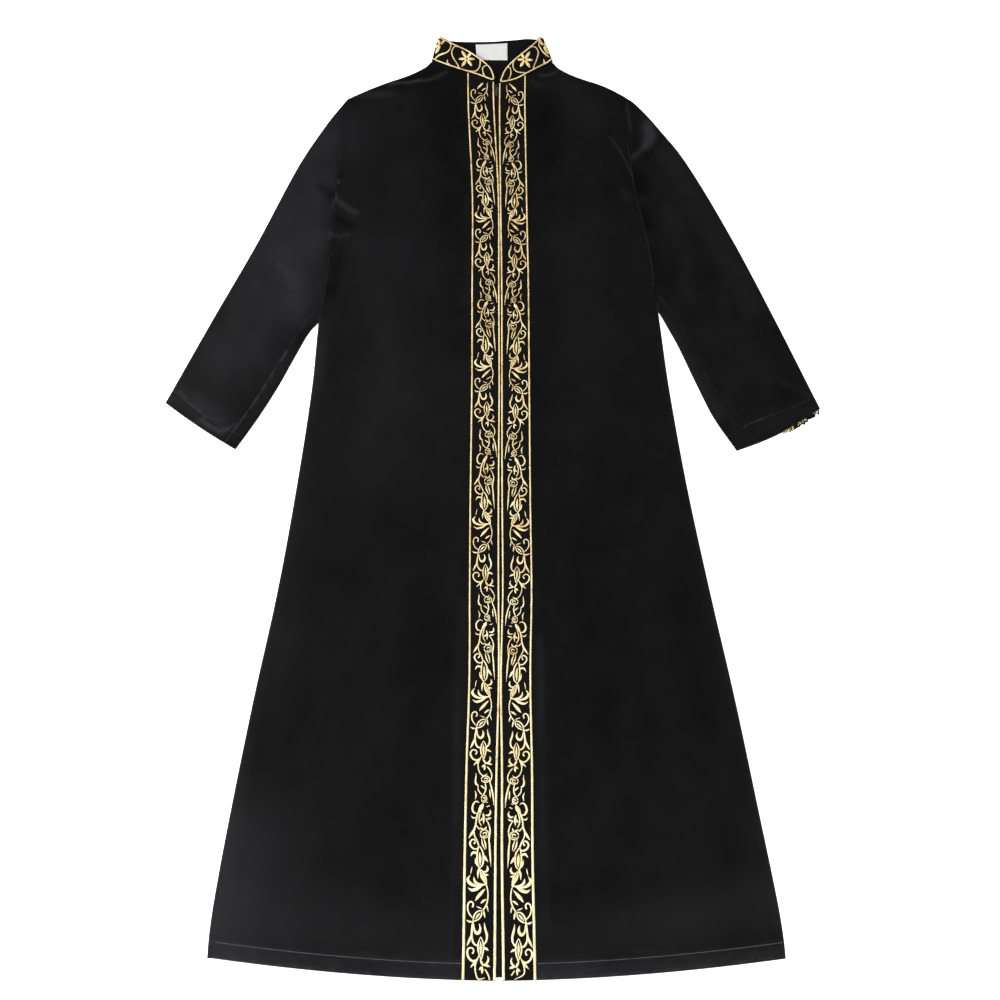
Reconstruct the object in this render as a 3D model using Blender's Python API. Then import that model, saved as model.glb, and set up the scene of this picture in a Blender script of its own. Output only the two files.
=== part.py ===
"""A thobe laid flat, face up: an ankle-length robe with a band collar, long sleeves and a
front that closes with a hidden zip between two embroidered bands.

Plan sizes are in millimetres on the laying-out table. X runs to the wearer's left, with the
closing line near 0. Y runs up the robe from the lowest point of the hem. Z is the height over
the table. The objects are made in metres and moved at the end, so that the origin is under the
middle of the robe.
"""

import math
from collections import namedtuple

import bmesh
import bpy
from mathutils import Vector

MM = 0.001
RIGHT, LEFT = -1, 1

# Walls and gaps
CLOTH = 1.2
COLLAR_CLOTH = 1.8
SEAM_GAP = 0.3
NECK_GAP = 0.8
LYING_GAP = 0.3

# Bands, gold borders and zip
BAND_WIDTH = 41.0
BAND_CLOTH = 1.0
BORDER_WIDTH = 2.5
BORDER_HEIGHT = 1.1
BORDER_EDGE = 0.3
TAPE_WIDTH = 24.0
TAPE_CLOTH = 1.0
TAPE_END_ABOVE_HEM = 22.0

# Lift of the upper layer over the lower one
SIDE_LIFT = CLOTH + LYING_GAP
MIDDLE_LIFT = 2.9
SIDE_SLOPE = 60.0
SHOULDER_SLOPE = 26.0
SLEEVE_FULLNESS = 1.9
SLEEVE_FLAT_HEAD = 0.2

# Hem: how far its corners rise over its middle, and how much shorter the back is there
HEM_RISE = 29.0
HEM_HALF_WIDTH = 356.0
HEM_ROUNDING = 1.8
BACK_HEM_SHORTER = 8.0

# Body edges: side seams up to the underarm, armhole seams above it
SideRow = namedtuple("SideRow", "y right left")
SIDES = (
    SideRow(y=0, right=-361, left=353),
    SideRow(y=50, right=-361, left=351.5),
    SideRow(y=100, right=-357, left=346),
    SideRow(y=200, right=-344.5, left=331),
    SideRow(y=350, right=-323, left=308),
    SideRow(y=500, right=-299, left=282),
    SideRow(y=650, right=-280.5, left=258),
    SideRow(y=800, right=-266, left=239),
    SideRow(y=910, right=-260.5, left=229),
    SideRow(y=960, right=-254.5, left=223.5),
    SideRow(y=1050, right=-249.5, left=211.5),
    SideRow(y=1110, right=-245.5, left=200),
    SideRow(y=1175, right=-242, left=193),
    SideRow(y=1230, right=-239, left=192.5),
    SideRow(y=1283, right=-233, left=191),
)

# Front edges at the closing line
EdgeRow = namedtuple("EdgeRow", "y right left")
FRONT_EDGES = (
    EdgeRow(y=0, right=-5.6, left=3.1),
    EdgeRow(y=36, right=-5.1, left=2.8),
    EdgeRow(y=145, right=-4.6, left=1.3),
    EdgeRow(y=259, right=-3.2, left=1.4),
    EdgeRow(y=378, right=-0.4, left=0.1),
    EdgeRow(y=501, right=-0.8, left=2.6),
    EdgeRow(y=630, right=-0.8, left=1.8),
    EdgeRow(y=812, right=0.2, left=1.6),
    EdgeRow(y=956, right=-0.5, left=1.4),
    EdgeRow(y=1107, right=-1.0, left=-0.3),
    EdgeRow(y=1265, right=-8.1, left=-1.8),
    EdgeRow(y=1315, right=-9.2, left=-1.3),
)

# Neckline of the fronts from the closing line to the shoulder, then the shoulder to its tip
EdgePoint = namedtuple("EdgePoint", "x y")
NECKLINES = {
    RIGHT: (
        EdgePoint(x=-9, y=1312),
        EdgePoint(x=-32, y=1323.5),
        EdgePoint(x=-60, y=1333),
        EdgePoint(x=-83, y=1342),
        EdgePoint(x=-105, y=1353),
    ),
    LEFT: (
        EdgePoint(x=-1, y=1310),
        EdgePoint(x=23, y=1315),
        EdgePoint(x=43, y=1327),
        EdgePoint(x=62, y=1338.5),
        EdgePoint(x=81, y=1351),
    ),
}
SHOULDERS = {
    RIGHT: (
        EdgePoint(x=-105, y=1353),
        EdgePoint(x=-133, y=1336),
        EdgePoint(x=-161, y=1319.5),
        EdgePoint(x=-200, y=1301),
        EdgePoint(x=-233, y=1283),
    ),
    LEFT: (
        EdgePoint(x=81, y=1351),
        EdgePoint(x=107, y=1335),
        EdgePoint(x=132, y=1319.5),
        EdgePoint(x=165, y=1303),
        EdgePoint(x=191, y=1287),
    ),
}
BACK_NECK_Y = 1352.0

# Sleeves: the fold along the outer edge and the edge under the arm, from armhole to cuff
SleeveRow = namedtuple("SleeveRow", "along outer_x outer_y inner_x inner_y")
SLEEVES = {
    RIGHT: (
        SleeveRow(along=0.00, outer_x=-233, outer_y=1283, inner_x=-261, inner_y=902),
        SleeveRow(along=0.10, outer_x=-263, outer_y=1237, inner_x=-274, inner_y=885),
        SleeveRow(along=0.25, outer_x=-302, outer_y=1163, inner_x=-290, inner_y=852),
        SleeveRow(along=0.50, outer_x=-356, outer_y=1033, inner_x=-313, inner_y=802),
        SleeveRow(along=0.75, outer_x=-414, outer_y=905, inner_x=-339, inner_y=753),
        SleeveRow(along=1.00, outer_x=-471, outer_y=776, inner_x=-368, inner_y=705),
    ),
    LEFT: (
        SleeveRow(along=0.00, outer_x=191, outer_y=1287, inner_x=228.5, inner_y=919),
        SleeveRow(along=0.10, outer_x=231, outer_y=1243, inner_x=239, inner_y=898),
        SleeveRow(along=0.25, outer_x=278, outer_y=1171, inner_x=254, inner_y=865),
        SleeveRow(along=0.50, outer_x=341, outer_y=1039, inner_x=276, inner_y=809),
        SleeveRow(along=0.75, outer_x=397, outer_y=903, inner_x=299, inner_y=754),
        SleeveRow(along=1.00, outer_x=450, outer_y=767, inner_x=329, inner_y=703),
    ),
}
CUFF_BOW = {RIGHT: 2.0, LEFT: 6.0}
ARMHOLE_FADE = 0.3

# Places across a sleeve, 0 at its outer fold and 1 at its underarm edge. The panels have a row
# at each, so that both sides of an armhole seam run through the same points.
ACROSS = (0.024, 0.12, 0.23, 0.35, 0.47, 0.59, 0.71, 0.82, 0.913, 0.984)
SEAM_ACROSS = 8
FOLD_INSET = 1.4

# Largest folds of the upper layer: soft ridges from one end to the other
Fold = namedtuple("Fold", "on x0 y0 x1 y1 height half_width")
FOLDS = (
    Fold(on="front", x0=184, y0=1215, x1=224, y1=950, height=2.6, half_width=30),
    Fold(on="front", x0=160, y0=1232, x1=188, y1=1170, height=1.2, half_width=16),
    Fold(on="sleeve", x0=247, y0=1236, x1=200, y1=1182, height=3.0, half_width=17),
    Fold(on="sleeve", x0=300, y0=1120, x1=330, y1=950, height=1.2, half_width=26),
    Fold(on="sleeve", x0=372, y0=830, x1=432, y1=800, height=1.3, half_width=16),
    Fold(on="sleeve", x0=-290, y0=1130, x1=-246, y1=1092, height=1.4, half_width=16),
    Fold(on="sleeve", x0=-345, y0=1000, x1=-300, y1=900, height=1.2, half_width=24),
    Fold(on="front", x0=-244, y0=1112, x1=-196, y1=1080, height=1.6, half_width=16),
    Fold(on="front", x0=-247, y0=1040, x1=-200, y1=1030, height=1.3, half_width=16),
    Fold(on="front", x0=-218, y0=1275, x1=-60, y1=1318, height=1.7, half_width=22),
    Fold(on="front", x0=45, y0=1310, x1=110, y1=1318, height=1.4, half_width=22),
    Fold(on="front", x0=-330, y0=60, x1=-262, y1=560, height=1.5, half_width=48),
    Fold(on="front", x0=-170, y0=20, x1=-130, y1=480, height=1.2, half_width=42),
    Fold(on="front", x0=152, y0=20, x1=118, y1=560, height=1.3, half_width=44),
    Fold(on="front", x0=305, y0=60, x1=232, y1=620, height=1.4, half_width=44),
    Fold(on="front", x0=-150, y0=700, x1=-120, y1=1180, height=1.0, half_width=50),
    Fold(on="front", x0=110, y0=760, x1=140, y1=1120, height=1.0, half_width=44),
)

# Collar, by sections from the closing line to its side fold. The z values are those of the
# outer face, and the back lies on the table.
CollarRow = namedtuple("CollarRow", "seam_x seam_y seam_z top_x top_y top_z")
COLLAR_FRONTS = {
    RIGHT: (
        CollarRow(seam_x=-9.4, seam_y=1312.3, seam_z=5.4, top_x=-8.8, top_y=1316, top_z=5.6),
        CollarRow(seam_x=-13, seam_y=1314.5, seam_z=5.5, top_x=-10, top_y=1326, top_z=6.2),
        CollarRow(seam_x=-21, seam_y=1318.5, seam_z=5.7, top_x=-16, top_y=1339.5, top_z=7.2),
        CollarRow(seam_x=-36, seam_y=1325.2, seam_z=6.0, top_x=-29, top_y=1352.5, top_z=8.4),
        CollarRow(seam_x=-58, seam_y=1332.6, seam_z=6.3, top_x=-50, top_y=1368.5, top_z=9.6),
        CollarRow(seam_x=-82, seam_y=1341.8, seam_z=6.1, top_x=-73, top_y=1381, top_z=10.4),
        CollarRow(seam_x=-98, seam_y=1349.6, seam_z=5.2, top_x=-87, top_y=1389.5, top_z=10.6),
    ),
    LEFT: (
        CollarRow(seam_x=-0.6, seam_y=1310.4, seam_z=5.4, top_x=-0.2, top_y=1314, top_z=5.6),
        CollarRow(seam_x=4, seam_y=1311.2, seam_z=5.5, top_x=2, top_y=1320, top_z=6.2),
        CollarRow(seam_x=13, seam_y=1312.8, seam_z=5.7, top_x=6.5, top_y=1332, top_z=7.2),
        CollarRow(seam_x=27, seam_y=1317.6, seam_z=6.0, top_x=15, top_y=1345, top_z=8.4),
        CollarRow(seam_x=44, seam_y=1327.8, seam_z=6.3, top_x=31, top_y=1361, top_z=9.6),
        CollarRow(seam_x=62, seam_y=1338.7, seam_z=6.1, top_x=48, top_y=1377, top_z=10.4),
        CollarRow(seam_x=74, seam_y=1346.4, seam_z=5.2, top_x=58.5, top_y=1388.5, top_z=10.6),
    ),
}
SideFold = namedtuple("SideFold", "seam_x seam_y top_x top_y seam_radius top_radius")
COLLAR_SIDES = {
    RIGHT: SideFold(-105.5, 1353.2, -96.5, 1392, seam_radius=2.3, top_radius=5.3),
    LEFT: SideFold(81.5, 1352, 67, 1392, seam_radius=2.3, top_radius=5.3),
}
BackRow = namedtuple("BackRow", "x top_y")
COLLAR_BACK = (
    BackRow(x=-76, top_y=1389.5),
    BackRow(x=-56, top_y=1387.5),
    BackRow(x=-17, top_y=1386.5),
    BackRow(x=23, top_y=1390),
    BackRow(x=45, top_y=1391.5),
)

# How finely each form is divided along its length
BACK_ROWS = 14
FRONT_ROWS = 26
FRONT_COLUMNS = 10
BAND_COLUMNS = 2
SLEEVE_ROWS = 15
COLLAR_ROWS_UP = 3

# Gold border on a collar half: round its front end, from the side fold and back to it
BorderStop = namedtuple("BorderStop", "section height")
COLLAR_BORDER = (
    BorderStop(section=6, height=0.06),
    BorderStop(section=5, height=0.06),
    BorderStop(section=4, height=0.06),
    BorderStop(section=3, height=0.07),
    BorderStop(section=2, height=0.10),
    BorderStop(section=1.1, height=0.22),
    BorderStop(section=0.62, height=0.52),
    BorderStop(section=1.1, height=0.84),
    BorderStop(section=2, height=0.92),
    BorderStop(section=3, height=0.94),
    BorderStop(section=4, height=0.95),
    BorderStop(section=5, height=0.95),
    BorderStop(section=6, height=0.95),
)

# Neck label
LABEL_CENTRE_X = -13.0
LABEL_WIDTH = 49.0
LABEL_LOW_Y = 1354.5
LABEL_HIGH_Y = 1384.5
LABEL_CLOTH = 0.6

# Zip slider, its bridge, and the pull that hangs on it
PULL_X = -5.3
PULL_Y = 1306.6
PULL_Z = 5.6
SLIDER_WIDTH = 5.2
SLIDER_LENGTH = 9.0
SLIDER_LOW_Z = CLOTH + LYING_GAP + TAPE_CLOTH + 0.3
SLIDER_HIGH_Z = 4.6
BRIDGE_WIDTH = 1.0
BRIDGE_REACH = 2.4
BRIDGE_LEG = 1.0
BRIDGE_HIGH_Z = 7.3
PULL_LENGTH = 20.5
PULL_THICKNESS = 0.9
PULL_TOP_WIDTH = 3.2
PULL_LOW_WIDTH = 3.6
WINDOW_WIDTH = 1.7
WINDOW_LENGTH = 3.6

# Colours, as red, green and blue light
BLACK_SATIN = (0.0105, 0.0105, 0.0115)
BLACK_BAND = (0.0060, 0.0058, 0.0062)
GOLD_THREAD = (0.60, 0.43, 0.19)
BLACK_TAPE = (0.0070, 0.0070, 0.0075)
WHITE_LABEL = (0.80, 0.80, 0.79)
GREY_METAL = (0.24, 0.23, 0.23)


# Curves through the tables

def smooth(rows, key, column, at):
    """The value of a column at one place of the key column, on a curve through the rows."""
    keys = [getattr(row, key) for row in rows]
    values = [getattr(row, column) for row in rows]
    last = len(rows) - 1
    if keys[0] > keys[last]:
        keys.reverse()
        values.reverse()
    at = min(max(at, keys[0]), keys[last])
    low = max(i for i in range(last) if keys[i] <= at)
    span = keys[low + 1] - keys[low]
    t = (at - keys[low]) / span

    def slope(i):
        before, after = max(i - 1, 0), min(i + 1, last)
        return (values[after] - values[before]) / (keys[after] - keys[before])

    return (
        (2 * t**3 - 3 * t**2 + 1) * values[low]
        + (t**3 - 2 * t**2 + t) * span * slope(low)
        + (3 * t**2 - 2 * t**3) * values[low + 1]
        + (t**3 - t**2) * span * slope(low + 1)
    )


def ease(t):
    """0 below 0, 1 above 1, and a soft slope between."""
    t = min(max(t, 0.0), 1.0)
    return t * t * (3 - 2 * t)


def mix(a, b, t):
    return a + (b - a) * t


def column(side):
    return "right" if side == RIGHT else "left"


def side_x(side, y):
    return smooth(SIDES, "y", column(side), y)


def edge_x(side, y):
    return smooth(FRONT_EDGES, "y", column(side), y)


def top_y(side, x):
    """The neckline and shoulder of a front at one x."""
    neck, shoulder = NECKLINES[side], SHOULDERS[side]
    rows = neck if side * x < side * neck[-1].x else shoulder
    return smooth(rows, "x", "y", x)


def hem_y(x):
    return HEM_RISE * (min(abs(x), HEM_HALF_WIDTH) / HEM_HALF_WIDTH) ** HEM_ROUNDING


# Heights of the upper layer

def fold_height(on, x, y):
    """What the folds on the fronts or the sleeves add at one place."""
    total = 0.0
    for fold in FOLDS:
        if fold.on != on:
            continue
        run_x, run_y = fold.x1 - fold.x0, fold.y1 - fold.y0
        length = math.hypot(run_x, run_y)
        along = ((x - fold.x0) * run_x + (y - fold.y0) * run_y) / length
        beyond = max(-along, along - length, 0.0)
        across = abs((x - fold.x0) * run_y - (y - fold.y0) * run_x) / length
        away = math.hypot(across, beyond) / fold.half_width
        if away < 1:
            total += fold.height * (0.5 + 0.5 * math.cos(math.pi * away))
    return total


def front_underside(side, x, y):
    """Height of a front's lower face: down on its seams, over the zip in the middle."""
    from_side = abs(side_x(side, y) - x) / SIDE_SLOPE
    past_neck = side * x - side * NECKLINES[side][-1].x
    from_shoulder = (top_y(side, x) - y) / SHOULDER_SLOPE + max(-past_neck, 0.0) / SHOULDER_SLOPE
    rise = min(ease(from_side), ease(from_shoulder))
    return SIDE_LIFT + (MIDDLE_LIFT - SIDE_LIFT) * rise + fold_height("front", x, y)


# Building

def make_material(name, colour, roughness, metallic=0.0):
    material = bpy.data.materials.new(name)
    material.use_nodes = True
    shader = material.node_tree.nodes["Principled BSDF"]
    shader.inputs["Base Color"].default_value = (*colour, 1.0)
    shader.inputs["Roughness"].default_value = roughness
    shader.inputs["Metallic"].default_value = metallic
    return material


def finish(name, bm, material):
    """Turns millimetres into metres and the bmesh into a named object."""
    bmesh.ops.recalc_face_normals(bm, faces=bm.faces[:])
    if bm.calc_volume(signed=True) < 0:
        bmesh.ops.reverse_faces(bm, faces=bm.faces[:])
    bmesh.ops.scale(bm, vec=(MM, MM, MM), verts=bm.verts[:])
    mesh = bpy.data.meshes.new(name)
    bm.to_mesh(mesh)
    bm.free()
    mesh.shade_smooth()
    mesh.set_sharp_from_angle(angle=math.radians(40))
    mesh.materials.append(material)
    thing = bpy.data.objects.new(name, mesh)
    bpy.context.collection.objects.link(thing)
    return thing


def make_wall(name, columns, rows, outer, inner, material):
    """A closed wall with two faces, outer(u, v) and inner(u, v), joined round the rim."""
    bm = bmesh.new()
    bmesh.ops.create_grid(bm, x_segments=columns, y_segments=rows, size=0.5)
    across = bm.verts.layers.float.new("across")
    along = bm.verts.layers.float.new("along")
    for vert in bm.verts:
        vert[across] = vert.co.x + 0.5
        vert[along] = vert.co.y + 0.5
    first = bm.verts[:]
    made = bmesh.ops.extrude_face_region(bm, geom=bm.faces[:])["geom"]
    second = [item for item in made if isinstance(item, bmesh.types.BMVert)]
    for vert in first:
        vert.co = outer(vert[across], vert[along])
    for vert in second:
        vert.co = inner(vert[across], vert[along])
    return finish(name, bm, material)


def make_ribbon(name, centre, steps, material):
    """A gold border: a low round-backed strip along the line centre(v)."""

    def place(u, v):
        ahead, behind = centre(min(v + 0.004, 1.0)), centre(max(v - 0.004, 0.0))
        run = Vector((ahead.x - behind.x, ahead.y - behind.y)).normalized()
        swing = (u - 0.5) * BORDER_WIDTH
        return centre(v) + Vector((run.y * swing, -run.x * swing, 0))

    def outer(u, v):
        crown = BORDER_EDGE + (BORDER_HEIGHT - BORDER_EDGE) * math.sin(math.pi * u)
        return place(u, v) + Vector((0, 0, crown))

    return make_wall(name, 4, steps, outer, place, material)


# Back: one flat panel on the table

def panel_rows(side, body_rows):
    """Rows of a panel's side edge as parts of its height, from the hem to the shoulder tip."""
    tip, underarm = SLEEVES[side][0].outer_y, SLEEVES[side][0].inner_y
    low = hem_y(side_x(side, HEM_RISE))
    high = tip - SEAM_GAP
    heights = [mix(low, underarm, i / body_rows) for i in range(body_rows)]
    heights += [mix(tip, underarm, across) for across in (1, *reversed(ACROSS))]
    return [(height - low) / (high - low) for height in heights] + [1.0]


def make_back(material):
    """The back lies flat. Its hem is a little shorter than the fronts' in the middle."""
    right_rows, left_rows = panel_rows(RIGHT, BACK_ROWS), panel_rows(LEFT, BACK_ROWS)
    last = len(right_rows) - 1

    def place(u, v):
        top_x = mix(SHOULDERS[RIGHT][-1].x, SHOULDERS[LEFT][-1].x, u)
        hem_x = mix(side_x(RIGHT, HEM_RISE), side_x(LEFT, HEM_RISE), u)
        right_neck, left_neck = NECKLINES[RIGHT][-1].x, NECKLINES[LEFT][-1].x
        if top_x < right_neck:
            high = smooth(SHOULDERS[RIGHT], "x", "y", top_x)
        elif top_x > left_neck:
            high = smooth(SHOULDERS[LEFT], "x", "y", top_x)
        else:
            high = BACK_NECK_Y
        shorter = BACK_HEM_SHORTER * max(1 - (hem_x / HEM_HALF_WIDTH) ** 2, 0.0)
        row = round(v * last)
        y = mix(hem_y(hem_x) + shorter, high - SEAM_GAP, mix(right_rows[row], left_rows[row], u))
        return mix(side_x(RIGHT, y), side_x(LEFT, y), u), y

    def inner(u, v):
        return Vector((*place(u, v), 0.0))

    def outer(u, v):
        return Vector((*place(u, v), CLOTH))

    return make_wall("back", 12, last, outer, inner, material)


# Fronts: two panels on the back, from side seam to closing line

def front_point(side, across, beyond, row):
    """A point under a front: so many millimetres across the band, then a part of the way on
    from the band to the side seam, at one of the panel's rows."""
    top_x = mix(edge_x(side, 1315) + side * across, SHOULDERS[side][-1].x, beyond)
    hem_x = mix(edge_x(side, 0) + side * across, side_x(side, HEM_RISE), beyond)
    gap = mix(NECK_GAP, SEAM_GAP, beyond)
    y = mix(hem_y(hem_x), top_y(side, top_x) - gap, row)
    x = mix(edge_x(side, y) + side * across, side_x(side, y), beyond)
    return Vector((x, y, front_underside(side, x, y)))


def make_front(side, material):
    rows = panel_rows(side, FRONT_ROWS)
    columns = [(BAND_WIDTH * i / BAND_COLUMNS, 0) for i in range(BAND_COLUMNS)]
    columns += [(BAND_WIDTH, i / FRONT_COLUMNS) for i in range(FRONT_COLUMNS + 1)]

    def inner(u, v):
        across, beyond = columns[round(u * (len(columns) - 1))]
        return front_point(side, across, beyond, rows[round(v * (len(rows) - 1))])

    def outer(u, v):
        return inner(u, v) + Vector((0, 0, CLOTH))

    return make_wall(
        "front_" + column(side), len(columns) - 1, len(rows) - 1, outer, inner, material
    )


# Sleeves: each one piece rolled into a flat tube, with its edges meeting at the sleeve seam

RingPoint = namedtuple("RingPoint", "across inset level")


def sleeve_ring():
    """One turn round a sleeve, from its seam over the underarm edge, under and back.

    Level is 0 under, 1 on top and half way on a fold. Inset is measured from the fold.
    """
    top = [RingPoint(across, 0, 1) for across in ACROSS]
    under = [RingPoint(across, 0, 0) for across in ACROSS]
    underarm = [RingPoint(1, FOLD_INSET, 1), RingPoint(1, 0, 0.5), RingPoint(1, FOLD_INSET, 0)]
    outer = [RingPoint(0, FOLD_INSET, 0), RingPoint(0, 0, 0.5), RingPoint(0, FOLD_INSET, 1)]
    return top[SEAM_ACROSS:] + underarm + under[::-1] + outer + top[:SEAM_ACROSS + 1]


def sleeve_place(side, across, along):
    """A place on a laid sleeve, from outer fold to underarm and from armhole to cuff."""
    rows = SLEEVES[side]
    outer = Vector([smooth(rows, "along", name, along) for name in ("outer_x", "outer_y")])
    inner = Vector([smooth(rows, "along", name, along) for name in ("inner_x", "inner_y")])
    spot = outer.lerp(inner, across)
    start_x = mix(rows[0].outer_x, rows[0].inner_x, across)
    start_y = mix(rows[0].outer_y, rows[0].inner_y, across)
    armhole = side_x(side, start_y) - start_x + side * SEAM_GAP
    spot.x += armhole * (1 - ease(along / ARMHOLE_FADE))
    run = (inner - outer).normalized()
    bow = CUFF_BOW[side] * along**6 * math.sin(math.pi * across)
    return spot + side * bow * Vector((-run.y, run.x))


def sleeve_height(across, along, spot):
    """Height of the top face of a sleeve: flat at its folds and at the armhole."""
    fullness = SLEEVE_FULLNESS * math.sin(math.pi * across) ** 0.7
    fullness *= ease(along / SLEEVE_FLAT_HEAD)
    return SIDE_LIFT + CLOTH + fullness + fold_height("sleeve", spot.x, spot.y)


def make_sleeve(side, material):
    ring = sleeve_ring()
    last = len(ring) - 1
    table = SLEEVES[side]

    def ring_point(u, v, depth):
        number = round(u * last)
        turn = ring[number]
        along = v**1.2
        width = math.hypot(
            smooth(table, "along", "inner_x", along) - smooth(table, "along", "outer_x", along),
            smooth(table, "along", "inner_y", along) - smooth(table, "along", "outer_y", along),
        )
        inset = turn.inset
        if turn.across in (0, 1):
            inset += depth * (FOLD_INSET if turn.level == 0.5 else 0.4)
        across = turn.across + (inset if turn.across < 0.5 else -inset) / width
        if number == last:
            across -= SEAM_GAP / width
        spot = sleeve_place(side, across, along)
        wall = depth * CLOTH
        heights = {
            0: wall,
            0.5: (SIDE_LIFT + CLOTH) / 2,
            1: sleeve_height(across, along, spot) - wall,
        }
        return Vector((spot.x, spot.y, heights[turn.level]))

    def outer(u, v):
        return ring_point(u, v, 0)

    def inner(u, v):
        return ring_point(u, v, 1)

    return make_wall("sleeve_" + column(side), last, SLEEVE_ROWS, outer, inner, material)


# Collar: one stiff band round the neck, its back on the table and its ends at the closing line

def collar_sections():
    """Outer face and inward direction of each section, from the right end to the left end."""
    sections = []

    def add_front(side):
        for row in COLLAR_FRONTS[side]:
            seam = Vector((row.seam_x, row.seam_y, row.seam_z))
            top = Vector((row.top_x, row.top_y, row.top_z))
            found.append((seam, top, Vector((0, 0, -1))))

    def add_side(side):
        fold = COLLAR_SIDES[side]
        for degrees in (75, 40, 0, -40, -75):
            turn = math.radians(degrees)
            out = Vector((side * math.cos(turn), 0, math.sin(turn)))
            seam_middle = Vector((fold.seam_x - side * fold.seam_radius, fold.seam_y, fold.seam_radius))
            top_middle = Vector((fold.top_x - side * fold.top_radius, fold.top_y, fold.top_radius))
            seam = seam_middle + out * fold.seam_radius
            top = top_middle + out * fold.top_radius
            found.append((seam, top, -out))

    found = []
    add_front(RIGHT)
    add_side(RIGHT)
    sections += found
    for row in COLLAR_BACK:
        seam = Vector((row.x * 1.15, BACK_NECK_Y, 0))
        top = Vector((row.x, row.top_y, 0))
        sections.append((seam, top, Vector((0, 0, 1))))
    found = []
    add_front(LEFT)
    add_side(LEFT)
    sections += reversed(found)
    return sections


def make_collar(material):
    sections = collar_sections()
    last = len(sections) - 1

    def outer(u, v):
        seam, top, _ = sections[round(u * last)]
        return seam.lerp(top, v)

    def inner(u, v):
        _, _, inward = sections[round(u * last)]
        return outer(u, v) + inward * COLLAR_CLOTH

    return make_wall("collar", last, COLLAR_ROWS_UP, outer, inner, material)


def collar_face(side, section, height):
    """A point on the outer face of a collar front."""
    rows = COLLAR_FRONTS[side]
    low = min(int(section), len(rows) - 2)
    part = section - low

    def point(name):
        return Vector([
            mix(getattr(rows[low], name + axis), getattr(rows[low + 1], name + axis), part)
            for axis in ("_x", "_y", "_z")
        ])

    return point("seam").lerp(point("top"), height)


def make_collar_border(side, material):
    """A gold border sewn along the edges of a collar front and round its end."""
    stops = [collar_face(side, stop.section, stop.height) for stop in COLLAR_BORDER]
    Stop = namedtuple("Stop", "t x y z")
    rows = [Stop(i, *point) for i, point in enumerate(stops)]

    def centre(v):
        at = v * (len(rows) - 1)
        x, y, z = (smooth(rows, "t", axis, at) for axis in "xyz")
        return Vector((x, y, z + LYING_GAP + 0.1))

    return make_ribbon("collar_border_" + column(side), centre, 34, material)


# Bands and their borders: embroidered strips sewn along the front edges

def band_point(side, across, row):
    """A point under a band, on the straight run between the front's own points."""
    step = BAND_WIDTH / BAND_COLUMNS
    low = min(int(across / step), BAND_COLUMNS - 1)
    near = front_point(side, low * step, 0, row)
    far = front_point(side, (low + 1) * step, 0, row)
    return near.lerp(far, across / step - low) + Vector((0, 0, CLOTH + LYING_GAP))


def make_band(side, material):
    rows = panel_rows(side, FRONT_ROWS)

    def inner(u, v):
        return band_point(side, u * BAND_WIDTH, rows[round(v * (len(rows) - 1))])

    def outer(u, v):
        return inner(u, v) + Vector((0, 0, BAND_CLOTH))

    return make_wall("band_" + column(side), BAND_COLUMNS, len(rows) - 1, outer, inner, material)


def make_band_border(side, where, material):
    rows = panel_rows(side, FRONT_ROWS)
    half = BORDER_WIDTH / 2
    across = half if where == "inner" else BAND_WIDTH - half

    def centre(v):
        at = v * (len(rows) - 1)
        low = min(int(at), len(rows) - 2)
        near, far = (band_point(side, across, row) for row in rows[low : low + 2])
        return near.lerp(far, at - low) + Vector((0, 0, BAND_CLOTH + LYING_GAP))

    return make_ribbon(f"border_{column(side)}_{where}", centre, len(rows) - 1, material)


# Zip: tape under the front edges, slider and pull at its top

def make_zip_tape(material):
    """Both tapes and the closed coil, as one flat strip between the fronts and the back."""

    def inner(u, v):
        y = mix(TAPE_END_ABOVE_HEM, 1309.0, v)
        middle = (edge_x(RIGHT, y) + edge_x(LEFT, y)) / 2
        return Vector((middle + (u - 0.5) * TAPE_WIDTH, y, CLOTH + LYING_GAP))

    def outer(u, v):
        return inner(u, v) + Vector((0, 0, TAPE_CLOTH))

    return make_wall("zip_tape", 2, 32, outer, inner, material)


def make_block(bm, centre, size):
    made = bmesh.ops.create_cube(bm, size=1)
    bmesh.ops.scale(bm, vec=size, verts=made["verts"])
    bmesh.ops.translate(bm, vec=centre, verts=made["verts"])
    return made["verts"]


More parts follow.
